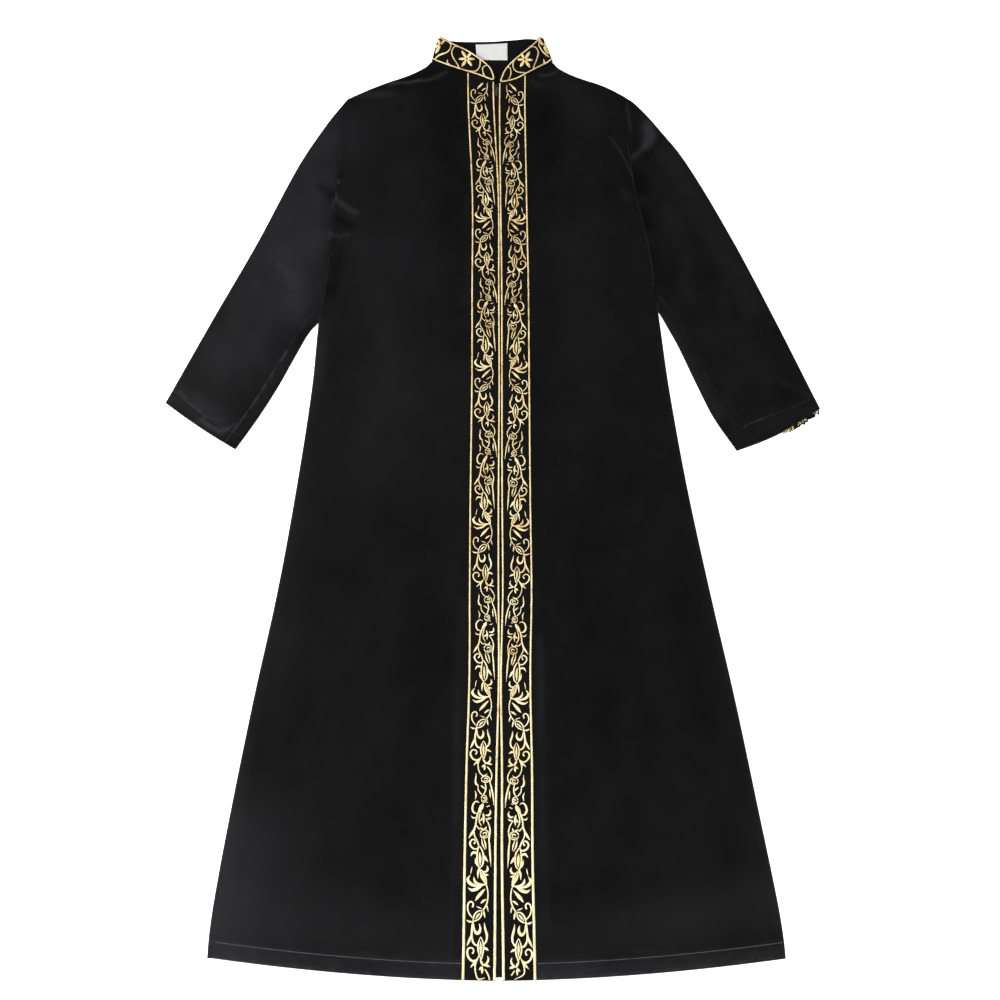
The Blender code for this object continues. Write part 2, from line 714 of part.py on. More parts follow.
def make_zip_slider(material):
    """The slider's body with a bridge over it, which the pull's top bar turns under."""
    bm = bmesh.new()
    high = SLIDER_HIGH_Z - SLIDER_LOW_Z
    make_block(
        bm,
        centre=(PULL_X, PULL_Y - 1.0, SLIDER_LOW_Z + high / 2),
        size=(SLIDER_WIDTH, SLIDER_LENGTH, high),
    )
    upright = [edge for edge in bm.edges if abs(edge.verts[0].co.z - edge.verts[1].co.z) > 1]
    bmesh.ops.bevel(
        bm, geom=upright, offset=1.5, offset_type="OFFSET",
        affect="EDGES", segments=3, profile=0.5, material=-1,
    )
    body = finish("zip_slider", bm, material)

    bm = bmesh.new()
    reach, leg = BRIDGE_REACH, BRIDGE_LEG
    outline = (
        (-reach, SLIDER_HIGH_Z - 0.5), (-reach, BRIDGE_HIGH_Z - 0.6), (-reach + 0.7, BRIDGE_HIGH_Z),
        (reach - 0.7, BRIDGE_HIGH_Z), (reach, BRIDGE_HIGH_Z - 0.6), (reach, SLIDER_HIGH_Z - 0.5),
        (reach - leg, SLIDER_HIGH_Z - 0.5), (reach - leg, BRIDGE_HIGH_Z - 0.8),
        (-reach + leg, BRIDGE_HIGH_Z - 0.8), (-reach + leg, SLIDER_HIGH_Z - 0.5),
    )
    near = [bm.verts.new((PULL_X - BRIDGE_WIDTH / 2, PULL_Y + y, z)) for y, z in outline]
    face = bm.faces.new(near)
    made = bmesh.ops.extrude_face_region(bm, geom=[face])["geom"]
    far = [item for item in made if isinstance(item, bmesh.types.BMVert)]
    bmesh.ops.translate(bm, vec=(BRIDGE_WIDTH, 0, 0), verts=far)
    bridge = finish("zip_bridge", bm, material)
    bridge.hide_render = True
    bridge.display_type = "WIRE"

    union = body.modifiers.new("Bridge", "BOOLEAN")
    union.operation = "UNION"
    union.solver = "EXACT"
    union.object = bridge
    return body, bridge


def make_zip_pull(material):
    """A thin metal tab with a window near its top. The bar over the window is its hinge."""
    bar = PULL_THICKNESS / 2
    window_low = -bar - WINDOW_LENGTH
    tip = -PULL_LENGTH + bar
    half_top, half_low, half_window = PULL_TOP_WIDTH / 2, PULL_LOW_WIDTH / 2, WINDOW_WIDTH / 2
    bm = bmesh.new()
    rows = [(bar, half_top), (-bar, half_top), (window_low, half_top), (tip + half_low, half_low)]
    columns = []
    for y, half in rows:
        columns.append([
            bm.verts.new((x, y, -PULL_THICKNESS / 2))
            for x in (-half, -half_window, half_window, half)
        ])
    for upper, lower in zip(columns, columns[1:]):
        for i in range(3):
            if upper is columns[1] and i == 1:
                continue
            bm.faces.new((upper[i], upper[i + 1], lower[i + 1], lower[i]))
    arc = [
        bm.verts.new((half_low * math.cos(turn), tip + half_low - half_low * math.sin(turn), -bar))
        for turn in (math.pi * i / 8 for i in range(1, 8))
    ]
    bm.faces.new([columns[-1][3], *arc, *columns[-1][:3]])
    made = bmesh.ops.extrude_face_region(bm, geom=bm.faces[:])["geom"]
    raised = [item for item in made if isinstance(item, bmesh.types.BMVert)]
    bmesh.ops.translate(bm, vec=(0, 0, PULL_THICKNESS), verts=raised)
    pull = finish("zip_pull", bm, material)
    pull.location = Vector((PULL_X, PULL_Y, PULL_Z)) * MM
    return pull


# Neck label: a blank woven label on the inside of the collar back

def make_label(material):
    def inner(u, v):
        x = LABEL_CENTRE_X + (u - 0.5) * LABEL_WIDTH
        return Vector((x, mix(LABEL_LOW_Y, LABEL_HIGH_Y, v), COLLAR_CLOTH + LYING_GAP))

    def outer(u, v):
        return inner(u, v) + Vector((0, 0, LABEL_CLOTH))

    return make_wall("neck_label", 4, 3, outer, inner, material)


# Centring

def centre_on_origin(things):
    """Moves every object so that the origin is under the middle of the robe's box."""
    bpy.context.view_layer.update()
    corners = [
        thing.matrix_world @ vert.co for thing in things for vert in thing.data.vertices
    ]
    low = Vector([min(corner[i] for corner in corners) for i in range(3)])
    high = Vector([max(corner[i] for corner in corners) for i in range(3)])
    shift = Vector((-(low.x + high.x) / 2, -(low.y + high.y) / 2, -low.z))
    for thing in things:
        thing.location = thing.location + shift


def main():
    for thing in list(bpy.data.objects):
        bpy.data.objects.remove(thing, do_unlink=True)

    satin = make_material("black_satin", BLACK_SATIN, roughness=0.5)
    band_cloth = make_material("band_cloth", BLACK_BAND, roughness=0.6)
    gold = make_material("gold_thread", GOLD_THREAD, roughness=0.45, metallic=0.3)
    tape = make_material("zip_tape", BLACK_TAPE, roughness=0.8)
    white = make_material("label_white", WHITE_LABEL, roughness=0.8)
    metal = make_material("zip_metal", GREY_METAL, roughness=0.35, metallic=1.0)

    things = [make_back(satin), make_collar(satin), make_label(white), make_zip_tape(tape)]
    for side in (RIGHT, LEFT):
        things.append(make_front(side, satin))
        things.append(make_sleeve(side, satin))
        things.append(make_band(side, band_cloth))
        things.append(make_band_border(side, "inner", gold))
        things.append(make_band_border(side, "outer", gold))
        things.append(make_collar_border(side, gold))
    things.append(make_zip_pull(metal))
    things.extend(make_zip_slider(metal))
    centre_on_origin(things)


main()
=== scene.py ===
"""A black thobe laid flat, face up, on a white studio table: an ankle-length robe with a band
collar, long sleeves, and a front that closes with a hidden zip between two bands embroidered
in gold. The sections follow the robe as it is sewn, from the back panel to the neck label.

Sizes are in millimetres of the laid robe. X runs to the wearer's left from the closing line, Y
up the robe from the lowest point of the hem, and Z up from the table.
"""

import bisect
import functools
import math
import random
from collections import namedtuple

import bmesh
import bpy
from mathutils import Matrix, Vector, noise


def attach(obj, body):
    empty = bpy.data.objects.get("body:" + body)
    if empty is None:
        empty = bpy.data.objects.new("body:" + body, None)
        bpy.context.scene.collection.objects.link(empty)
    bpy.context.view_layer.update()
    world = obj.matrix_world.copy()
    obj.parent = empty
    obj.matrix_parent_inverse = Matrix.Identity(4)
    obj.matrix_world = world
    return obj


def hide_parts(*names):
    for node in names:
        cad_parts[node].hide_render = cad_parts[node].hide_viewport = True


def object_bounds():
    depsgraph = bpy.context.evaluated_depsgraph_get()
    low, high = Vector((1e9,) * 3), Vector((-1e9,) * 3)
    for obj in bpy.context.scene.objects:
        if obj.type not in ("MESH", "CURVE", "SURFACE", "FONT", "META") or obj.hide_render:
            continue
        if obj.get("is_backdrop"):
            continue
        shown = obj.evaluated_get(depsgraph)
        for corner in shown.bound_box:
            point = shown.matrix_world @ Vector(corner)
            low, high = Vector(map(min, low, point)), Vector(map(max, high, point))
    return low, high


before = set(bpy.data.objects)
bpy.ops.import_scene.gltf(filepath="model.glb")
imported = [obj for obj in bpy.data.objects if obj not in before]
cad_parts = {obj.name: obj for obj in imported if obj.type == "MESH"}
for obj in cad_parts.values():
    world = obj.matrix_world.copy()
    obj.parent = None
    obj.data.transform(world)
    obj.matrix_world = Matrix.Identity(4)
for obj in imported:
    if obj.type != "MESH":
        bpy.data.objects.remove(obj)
solid_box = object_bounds()


# Back panel
# One width of black cloth from side seam to side seam, flat on the table. Its edges are turned
# in and sewn to the fronts at the sides and the shoulders.

MM = 0.001
CM = 10.0
FRAME_X, FRAME_Y = 10.5, -696.0
RIGHT, LEFT = -1, 1


def measures(columns, *rows):
    """A table of measures, its rows under named columns."""
    row = namedtuple("Row", columns)
    return tuple(row(*values) for values in rows)


SIDE_SEAMS = measures(
    "y right left",
    (0, -361, 353), (50, -361, 351.5), (100, -357, 346), (200, -344.5, 331), (350, -323, 308),
    (500, -299, 282), (650, -280.5, 258), (800, -266, 239), (910, -260.5, 229),
    (960, -254.5, 223.5), (1050, -249.5, 211.5), (1110, -245.5, 200), (1175, -242, 193),
    (1230, -239, 192.5), (1283, -233, 191),
)
SHOULDERS = {
    RIGHT: measures(
        "x y",
        (-105, 1353), (-112, 1344), (-122, 1336.5), (-137, 1328), (-154, 1320.5), (-172, 1313.5),
        (-200, 1300.5), (-222, 1289), (-233, 1283),
    ),
    LEFT: measures(
        "x y",
        (81, 1351), (88, 1341.5), (97, 1334.5), (110, 1327), (129, 1318.5), (150, 1310.5),
        (170, 1300.5), (191, 1287),
    ),
}
BACK_NECK_Y = 1353.0
BACK_CLOTH = 0.9
BACK_HEM_SHORTER = 4.0
BACK_TURNED_IN = 1.3
HEM_RISE = 26.5
HEM_HALF_WIDTH = 356.0
HEM_ROUNDING = 1.8

# The satin's colour at full painted shade and at full painted light, and the plain tone and its
# random drift between them
PAINTED_SHADE_SATIN, PAINTED_LIGHT_SATIN = (0.0005, 0.0005, 0.0006), (0.0150, 0.0152, 0.0165)
TONE_PLAIN, TONE_DRIFT = 0.12, 0.06


def on_table(x, y, z):
    """A place on the laid robe, in metres in the frame's own axes."""
    return Vector((x + FRAME_X, y + FRAME_Y, z)) * MM


@functools.cache
def curve_of(rows, key, column):
    """The keys of a table in rising order, with the column's values and slopes there."""
    pairs = sorted((getattr(row, key), getattr(row, column)) for row in rows)
    keys, values = zip(*pairs)
    last = len(rows) - 1
    ends = [(max(i - 1, 0), min(i + 1, last)) for i in range(last + 1)]
    slopes = [(values[b] - values[a]) / (keys[b] - keys[a]) for a, b in ends]
    return keys, values, slopes


def smooth(rows, key, column, at):
    """The value of a column at one place of the key column, on a curve through the rows."""
    keys, values, slopes = curve_of(rows, key, column)
    at = min(max(at, keys[0]), keys[-1])
    low = min(bisect.bisect_right(keys, at), len(keys) - 1) - 1
    span = keys[low + 1] - keys[low]
    t = (at - keys[low]) / span
    return (
        (2 * t**3 - 3 * t**2 + 1) * values[low]
        + (t**3 - 2 * t**2 + t) * span * slopes[low]
        + (3 * t**2 - 2 * t**3) * values[low + 1]
        + (t**3 - t**2) * span * slopes[low + 1]
    )


def ease(t):
    """0 below 0, 1 above 1, and a soft slope between."""
    t = min(max(t, 0.0), 1.0)
    return t * t * (3 - 2 * t)


def mix(a, b, t):
    return a + (b - a) * t


def patches(x, y, across, up, seed):
    """A soft random value from about -1 to 1, in patches of across by up mm."""
    return noise.noise((x / across, y / up, seed))


def named(side):
    return "right" if side == RIGHT else "left"


def side_x(side, y):
    return smooth(SIDE_SEAMS, "y", named(side), y)


def hem_y(x):
    return HEM_RISE * (min(abs(x), HEM_HALF_WIDTH) / HEM_HALF_WIDTH) ** HEM_ROUNDING


def closer_at_ends(t, how_much=0.75):
    """0 to 1, with the steps closer together at both ends, where an edge is rolled."""
    return t - how_much * math.sin(2 * math.pi * t) / (2 * math.pi)


def even_tone(x, y, z):
    """The cloth's plain tone at one place, from 0 to 1, drifting at random in broad patches."""
    return TONE_PLAIN + TONE_DRIFT * patches(x, y, 90, 120, 6.0)


def lay_cloth(name, columns, rows, lie, size, material, wall, tube=False, tone_and_painted_light=even_tone):
    """A piece of cloth as a grid with a wall. lie(u, v) is each point's place in mm, size is the
    piece's width and length in mm, which its weave follows, and the last argument gives how light
    its colour is at each place: its tone with any painted light and shade. A tube's first and last
    columns meet and are joined."""
    bm = bmesh.new()
    bmesh.ops.create_grid(bm, x_segments=columns, y_segments=rows, size=0.5)
    weave = bm.loops.layers.uv.new("weave")
    # Each point's tone, with painted light and shade on some pieces, is kept for the shader's base
    # colour
    shown = bm.verts.layers.float.new("tone_and_painted_light")
    for face in bm.faces:
        for loop in face.loops:
            u, v = loop.vert.co.x + 0.5, loop.vert.co.y + 0.5
            loop[weave].uv = (u * size[0] / CM, v * size[1] / CM)
    for vert in bm.verts:
        x, y, z = lie(vert.co.x + 0.5, vert.co.y + 0.5)
        vert[shown] = tone_and_painted_light(x, y, z)
        vert.co = on_table(x, y, z)
    if tube:
        bmesh.ops.remove_doubles(bm, verts=bm.verts[:], dist=1e-6)
    bm.normal_update()
    middle = sum(vert.co.z for vert in bm.verts) / len(bm.verts) if tube else -1.0
    up = sum(
        face.normal.z * face.calc_area() * (face.calc_center_median().z - middle)
        for face in bm.faces
    )
    if up < 0:
        bmesh.ops.reverse_faces(bm, faces=bm.faces[:])
    thing = finished(name, bm, material)
    solid = thing.modifiers.new("wall", "SOLIDIFY")
    solid.thickness = wall * MM
    solid.offset = -1
    return thing


def finished(name, bm, material):
    """Makes the object of a mesh, smooth and in its material."""
    mesh = bpy.data.meshes.new(name)
    bm.to_mesh(mesh)
    bm.free()
    mesh.shade_smooth()
    mesh.materials.append(material)
    thing = bpy.data.objects.new(name, mesh)
    bpy.context.collection.objects.link(thing)
    return thing


class Finish:
    """A material in the making. Its sockets take numbers, colours or other nodes' outputs."""

    def __init__(self, name):
        self.material = bpy.data.materials.new(name)
        self.material.use_nodes = True
        self.tree = self.material.node_tree

    def fill(self, node, sockets):
        for socket, value in sockets.items():
            if isinstance(value, bpy.types.NodeSocket):
                self.tree.links.new(value, node.inputs[socket])
            else:
                node.inputs[socket].default_value = value

    def add(self, kind, sockets, **settings):
        """Puts in a node and gives back its outputs."""
        node = self.tree.nodes.new(kind)
        for setting, value in settings.items():
            setattr(node, setting, value)
        self.fill(node, sockets)
        return node.outputs

    def shades(self, factor, *stops):
        """The colour at a factor from 0 to 1, between stops of (where, colour)."""
        node = self.tree.nodes.new("ShaderNodeValToRGB")
        self.fill(node, {"Fac": factor})
        ramp = node.color_ramp.elements
        for element, (where, colour) in zip(ramp, (stops[0], stops[-1])):
            element.position = where
            element.color = (*colour, 1)
        for where, colour in stops[1:-1]:
            ramp.new(where).color = (*colour, 1)
        return node.outputs["Color"]

    def shader(self, sockets):
        """Sets the shader's sockets and gives back the finished material."""
        self.fill(self.tree.nodes["Principled BSDF"], sockets)
        return self.material


def woven_cloth(name, dark, light, roughness, relief):
    """Black cloth of fine crossing yarns, with slubs that run up the piece and a soft sheen.
    Its base colour is lightened and darkened by each piece's painted light and shade.
    """
    cloth = Finish(name)
    weave = cloth.add("ShaderNodeUVMap", {}, uv_map="weave")["UV"]
    drawn_out = cloth.add("ShaderNodeMapping", {"Vector": weave, "Scale": (5.0, 0.35, 1.0)})
    slubs = cloth.add(
        "ShaderNodeTexNoise", {"Vector": drawn_out["Vector"], "Scale": 2.0, "Detail": 4.0}
    )["Fac"]
    yarns = cloth.add("ShaderNodeTexNoise", {"Vector": weave, "Scale": 26.0, "Detail": 1.0})["Fac"]
    # Painted light and shade: the attribute lightens or darkens the base colour, together with the
    # slubs
    tone_and_painted_light = cloth.add("ShaderNodeAttribute", {}, attribute_name="tone_and_painted_light")["Fac"]
    uneven = cloth.add("ShaderNodeMath", {0: slubs, 1: 0.16, 2: tone_and_painted_light}, operation="MULTIPLY_ADD")
    gloss = cloth.add(
        "ShaderNodeMapRange",
        {"Value": slubs, "To Min": roughness + 0.05, "To Max": roughness - 0.05},
    )
    height = cloth.add("ShaderNodeMath", {0: slubs, 1: 0.5, 2: yarns}, operation="MULTIPLY_ADD")
    bump = cloth.add(
        "ShaderNodeBump", {"Height": height["Value"], "Strength": 0.35, "Distance": relief * MM}
    )
    return cloth.shader({
        "Base Color": cloth.shades(uneven["Value"], (0.06, dark), (1.0, light)),
        "Roughness": gloss["Result"],
        "Normal": bump["Normal"],
        "Specular IOR Level": 0.052,
        "Sheen Weight": 0.05,
        "Sheen Roughness": 0.35,
    })


satin = woven_cloth("black_satin", PAINTED_SHADE_SATIN, PAINTED_LIGHT_SATIN, roughness=0.48, relief=0.06)


def back_lie(u, v):
    """The back, turned in a little behind the fronts' seams, its hem shorter in the middle."""
    hem_x = mix(side_x(RIGHT, HEM_RISE), side_x(LEFT, HEM_RISE), u)
    top_x = mix(SHOULDERS[RIGHT][-1].x, SHOULDERS[LEFT][-1].x, u)
    high = BACK_NECK_Y
    for side in (RIGHT, LEFT):
        if side * top_x > side * SHOULDERS[side][0].x:
            high = smooth(SHOULDERS[side], "x", "y", top_x) - BACK_TURNED_IN
    shorter = BACK_HEM_SHORTER * max(1 - (hem_x / HEM_HALF_WIDTH) ** 2, 0.0)
    y = mix(hem_y(hem_x) + shorter, high, v)
    x = mix(side_x(RIGHT, y) + BACK_TURNED_IN, side_x(LEFT, y) - BACK_TURNED_IN, u)
    return x, y, BACK_CLOTH


back = lay_cloth(
    "back_panel", columns=110, rows=200, lie=back_lie,
    size=(714, 1353), material=satin, wall=BACK_CLOTH,
)
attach(back, "thobe")
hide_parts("back")


# Fronts
# Two panels of the same cloth, one on each side of the closing line. Each lies over the back,
# its side and shoulder edges rolled down to the seam, and its hem turned up and sewn.

FRONT_EDGES = measures(
    "y right left",
    (0, -5.6, 3.1), (36, -5.1, 2.8), (145, -4.6, 1.3), (259, -3.2, 1.4), (378, -0.4, 0.1),
    (501, -0.8, 2.6), (630, -0.8, 1.8), (812, 0.2, 1.6), (956, -0.5, 1.4), (1107, -1.0, -0.3),
    (1265, -8.1, -1.8), (1315, -9.2, -1.3),
)
NECK_Y = 1315
NECKLINES = {
    RIGHT: measures(
        "x y",
        (-9, 1312), (-32, 1323.5), (-60, 1333), (-83, 1342), (-105, 1353),
    ),
    LEFT: measures(
        "x y",
        (-1, 1310), (23, 1315), (43, 1327), (62, 1338.5), (81, 1351),
    ),
}
FRONT_CLOTH = 0.9
SIDE_TOP = 2.7
MIDDLE_TOP = 4.1
SIDE_SLOPE = 60.0
SHOULDER_SLOPE = 26.0
SEAM_LEVEL = 0.95
ROLL = 2.6
UNDERARM_Y = {RIGHT: 902, LEFT: 919}
HEM_DEPTH = 19.5
HEM_DOUBLED = 0.45
HEM_FOLD_DROP, HEM_FOLD_RADIUS = 1.3, 1.6
CLOSING_EDGE = 1.0
BAND_REACH = 42

# The left front is folded a little over its armhole seam, between these two heights
OVERLAP_LOW_Y, OVERLAP_HIGH_Y, OVERLAP, OVERLAP_FADE = 950.0, 1215.0, 4.0, 45.0
OVERLAP_LEVEL, OVERLAP_RADIUS = 3.0, 2.2

# A crease narrower than this also gets a painted light line in the cloth's colour
NARROW, CREASE_PAINTED_LIGHT = 24, 0.15

Soft = namedtuple("Soft", "amount half_width path box")


def soft(amount, half_width, *path):
    """A soft amount along a path, with the box that it reaches: a ridge (or trough, below 0) in a
    fold's height, or painted light (or painted shade, below 0) in a colour.
    """
    across, up = zip(*path)
    box = (min(across), max(across), min(up), max(up))
    return Soft(amount, half_width, path, box)


def along_paths(rows, x, y):
    """The sum of the rows at one place, and of the narrow ones alone."""
    total = narrow = 0.0
    for amount, half_width, path, (left, right, low, high) in rows:
        if not (left - half_width < x < right + half_width):
            continue
        if not (low - half_width < y < high + half_width):
            continue
        nearest = half_width
        for (x0, y0), (x1, y1) in zip(path, path[1:]):
            run_x, run_y = x1 - x0, y1 - y0
            part = ((x - x0) * run_x + (y - y0) * run_y) / (run_x * run_x + run_y * run_y)
            part = min(max(part, 0.0), 1.0)
            nearest = min(nearest, math.hypot(x - x0 - part * run_x, y - y0 - part * run_y))
        if nearest < half_width:
            here = amount * (0.5 + 0.5 * math.cos(math.pi * nearest / half_width))
            total += here
            narrow += here if half_width < NARROW else 0.0
    return total, narrow


# The main creases. The sharp ones run beside each shoulder seam and above the left armhole.
RIGHT_RIDGE = (
    (-168, 1309), (-155, 1312), (-139, 1312), (-125, 1315), (-111, 1316), (-100, 1320),
    (-91, 1326), (-83, 1331),
)
LEFT_RIDGE = ((62, 1325), (74, 1325), (84, 1330), (91, 1336))
ARMHOLE_CREASE = ((167, 1214), (173, 1203), (182, 1187), (190, 1167), (197, 1146))
FRONT_FOLDS = (
    soft(2.0, 28, (186, 1200), (200, 1110), (224, 950)),
    soft(0.7, 3.6, *ARMHOLE_CREASE),
    soft(1.0, 9, (-252, 1126), (-236, 1104), (-220, 1088), (-210, 1084)),
    soft(-0.4, 9, (-244, 1082), (-228, 1068), (-212, 1064)),
    soft(0.8, 5, (-246, 1142), (-240, 1138), (-232, 1139)),
    soft(-0.7, 5, (-246, 1150), (-240, 1147), (-233, 1148)),
    soft(0.7, 6, (-250, 1053), (-236, 1043), (-221, 1048)),
    soft(-0.4, 7, (-250, 1036), (-232, 1026), (-218, 1032)),
    soft(-0.6, 5, (-258, 962), (-246, 959), (-234, 961)),
    soft(0.8, 9, (-214, 1291), (-192, 1289), (-168, 1292)),
    soft(1.2, 4.5, *RIGHT_RIDGE[:4]),
    soft(1.2, 4.5, *RIGHT_RIDGE[3:]),
    soft(-0.4, 11, (-180, 1300), (-140, 1303), (-98, 1311)),
    soft(-0.6, 9, (-150, 1318), (-112, 1328), (-88, 1338)),
    soft(0.5, 4, (50, 1314), (62, 1306)),
    soft(1.0, 4, *LEFT_RIDGE),
    soft(-0.4, 7, (58, 1316), (82, 1320)),
    soft(1.2, 60, (-330, 40), (-318, 220), (-290, 400), (-262, 600)),
    soft(0.9, 55, (-175, 10), (-160, 180), (-120, 330), (-118, 500)),
    soft(1.0, 55, (158, 10), (138, 200), (136, 360), (110, 560)),
    soft(1.1, 55, (308, 40), (290, 260), (246, 430), (228, 640)),
    soft(0.9, 60, (-160, 690), (-140, 860), (-150, 1020), (-118, 1190)),
    soft(0.9, 50, (105, 740), (128, 900), (122, 1010), (146, 1130)),
    soft(-0.6, 40, (-92, 150), (-100, 420), (-76, 640), (-88, 880)),
    soft(-0.6, 36, (84, 120), (92, 330), (78, 560), (88, 800)),
    soft(0.45, 4, (-61, 10), (-58, 180), (-57, 320), (-54, 430)),
    soft(0.45, 4, (62, 60), (58, 190), (56, 330), (52, 440)),
    soft(0.6, 6, (-54, 195), (-52, 260), (-56, 330)),
    soft(0.5, 6, (-47, 935), (-47, 1010), (-49, 1110)),
    soft(0.5, 6, (52, 300), (55, 380), (54, 440)),
    soft(0.7, 5, (-85, 22), (-66, 20), (-48, 24)),
    soft(0.6, 5, (215, 38), (190, 34), (160, 36)),
    soft(0.6, 5, (-170, 34), (-140, 28), (-112, 30)),
)

# Painted light and shade: places where the fronts' colour is painted lighter, or darker below 0,
# along soft paths, standing for sheen
FRONT_PAINTED_LIGHT_AND_SHADE = (
    soft(0.34, 130, (-345, 10), (-335, 150)),
    soft(0.16, 24, (-354, 60), (-334, 300), (-296, 560), (-264, 860)),
    soft(0.15, 18, (352, 60), (316, 330), (276, 560), (236, 860)),
    soft(0.13, 80, (-330, 75), (-200, 60), (-75, 50)),
    soft(0.12, 65, (60, 45), (200, 65), (330, 90)),
    soft(0.16, 18, (-352, 24), (-180, 4), (-42, -4)),
    soft(0.16, 18, (42, -4), (180, 4), (350, 24)),
    soft(0.13, 105, (-150, 700), (-140, 830), (-155, 1000)),
    soft(0.06, 90, (120, 780), (118, 900), (122, 1040)),
    soft(0.07, 50, (-215, 1040), (-225, 1160), (-220, 1240)),
    soft(0.16, 20, (-256, 896), (-262, 800)),
    soft(-0.09, 16, (-236, 1010), (-243, 950)),
    soft(-0.06, 60, (-75, 1290), (-85, 1180), (-60, 1080)),
    soft(-0.07, 55, (70, 1250), (75, 1180)),
    soft(-0.05, 110, (120, 560), (125, 420), (130, 300)),
    soft(-0.04, 70, (-90, 480), (-90, 300)),
    soft(-0.09, 46, (250, 560), (254, 420), (268, 330)),
    soft(0.05, 60, (150, 70), (250, 84), (320, 100)),
    soft(0.05, 95, (-165, 1240), (-140, 1120)),
    soft(0.05, 85, (122, 1245), (125, 1130)),
    soft(0.10, 34, (-228, 1242), (-230, 1195)),
    soft(0.14, 13, (-216, 1293), (-192, 1290), (-166, 1293)),
    soft(0.08, 30, (60, 1315), (110, 1312)),
    soft(0.44, 3.4, *RIGHT_RIDGE),
    soft(0.40, 3.4, *LEFT_RIDGE),
    soft(0.20, 4, (50, 1314), (62, 1306)),
    soft(0.08, 45, (118, 1285), (150, 1262)),
    soft(0.10, 14, (-52, 120), (-52, 300), (-50, 480)),
    soft(0.08, 14, (52, 60), (52, 260), (50, 430)),
    soft(0.16, 40, (56, 5), (100, 8)),
    soft(0.10, 40, (-60, 5), (-120, 6)),
    soft(0.13, 15, (48, 8), (200, 16), (350, 34)),
    soft(0.26, 2.6, *ARMHOLE_CREASE),
    soft(0.14, 12, (184, 1120), (190, 1106)),
    soft(0.60, 2.0, (-242, 1139), (-240, 1134)),
    soft(0.26, 8, (-246, 1106), (-230, 1094), (-214, 1084)),
    soft(-0.10, 14, (-236, 1070), (-218, 1056)),
    soft(0.24, 3.5, (-248, 1046), (-236, 1043), (-223, 1046)),
)


def near(away, reach):
    """1 on a line, falling off within about reach mm on both sides of it."""
    return math.exp(-((away / reach) ** 2))


def hem_painted_light(x, y):
    """Painted light on the turned-up hem: on its mottled cloth, along its fold, on its stitches
    and on their pull.
    """
    from_hem = y - hem_y(x)
    if from_hem >= HEM_DEPTH + 4:
        return 0.0
    mottled = patches(x, y, 8, 5, 2.0) + 0.6 * patches(x, y, 3, 3, 5.0)
    # Painted highlights along the fold, on the row of stitches, and on the cloth that they pull
    fold = max(0.30 + 0.75 * mottled, 0) * near(from_hem - 3.0, 1.1)
    stitched = max(0.60 + 0.70 * patches(x, 4.0, 12, 1, 2.0), 0.12)
    pulled = max(0.5 + 1.6 * patches(x, 7.0, 40, 1, 3.0), 0.0)
    return (
        (0.15 + 0.16 * mottled) * ease((HEM_DEPTH - from_hem) / 2)
        + fold
        + stitched * near(from_hem - HEM_DEPTH, 1.1)
        + 0.12 * pulled * near(from_hem - HEM_DEPTH - 3.0, 2.2)
    )


def front_tone_and_painted_light(x, y, z):
    """How light a front's colour is at one place, from 0 to 1: its tone with painted light and
    shade.
    """
    # Painted light and shade along the sheen paths, and a painted light line on each narrow crease
    narrow = along_paths(FRONT_FOLDS, x, y)[1]
    light = even_tone(x, y, z) + along_paths(FRONT_PAINTED_LIGHT_AND_SHADE, x, y)[0] + CREASE_PAINTED_LIGHT * narrow
    light += 0.05 * patches(x, y, 30, 42, 1.0) + 0.03 * patches(x, y, 9, 13, 3.0)
    # Painted light on the turned-up hem
    light += hem_painted_light(x, y)

    # Painted highlight along the left front's free edge where it lies over the armhole seam
    if x > 0 and overlap(LEFT, y) > 0.2:
        from_edge = side_x(LEFT, y) + overlap(LEFT, y) - x
        uneven = 0.8 + patches(y, 1.0, 30, 1, 9.0)
        light += 0.34 * near(from_edge - 1.5, math.sqrt(1.6)) * uneven
    return min(max(light, 0.0), 1.0)


def edge_x(side, y):
    """The closing edge of a front at one height of the robe."""
    return smooth(FRONT_EDGES, "y", named(side), y)


def top_y(side, x):
    """The neckline and shoulder of a front at one x."""
    neck, shoulder = NECKLINES[side], SHOULDERS[side]
    rows = neck if side * x < side * neck[-1].x else shoulder
    return smooth(rows, "x", "y", x)


def unevenness(x, y, broad, fine):
    """The soft rise and fall of cloth that has been smoothed by hand."""
    return broad * patches(x, y, 62, 85, 3.1) + fine * patches(x, y, 17, 24, 8.4)


def puckers(away, along, reach=9.0, height=0.28):
    """Small gathers beside a sewn line, away from it and along it in mm."""
    return height * math.exp(-away / reach) * patches(along, away, 7.5, 30, 1.7)


def rolled(z, away, low, radius=ROLL):
    """The height of a face that rolls down to a level at an edge."""
    if away >= radius:
        return z
    return low + (z - low) * math.sqrt(max(1 - (1 - max(away, 0) / radius) ** 2, 0.0))


def front_top(side, x, y):
    """Height of a front's upper face before its edges are rolled."""
    from_side = abs(side_x(side, y) - x) / SIDE_SLOPE
    past_neck = side * x - side * NECKLINES[side][-1].x
    from_shoulder = (top_y(side, x) - y) / SHOULDER_SLOPE + max(-past_neck, 0.0) / SHOULDER_SLOPE
    rise = min(ease(from_side), ease(from_shoulder))
    level = SIDE_TOP + (MIDDLE_TOP - SIDE_TOP) * rise + along_paths(FRONT_FOLDS, x, y)[0]
    beside_band = ease((abs(x) - BAND_REACH) / 25)
    return level + unevenness(x, y, 0.34, 0.10) * mix(0.35, 1.0, beside_band)


def overlap(side, y):
    """How far a front reaches past its armhole seam."""
    if side == RIGHT:
        return 0.0
    return OVERLAP * ease(min(y - OVERLAP_LOW_Y, OVERLAP_HIGH_Y - y) / OVERLAP_FADE)


def armhole_dip(y):
    """How deep the armhole seam lies, deeper where its stitches pull."""
    return 0.55 + 0.6 * patches(y, 3.0, 22, 1, 1.0)


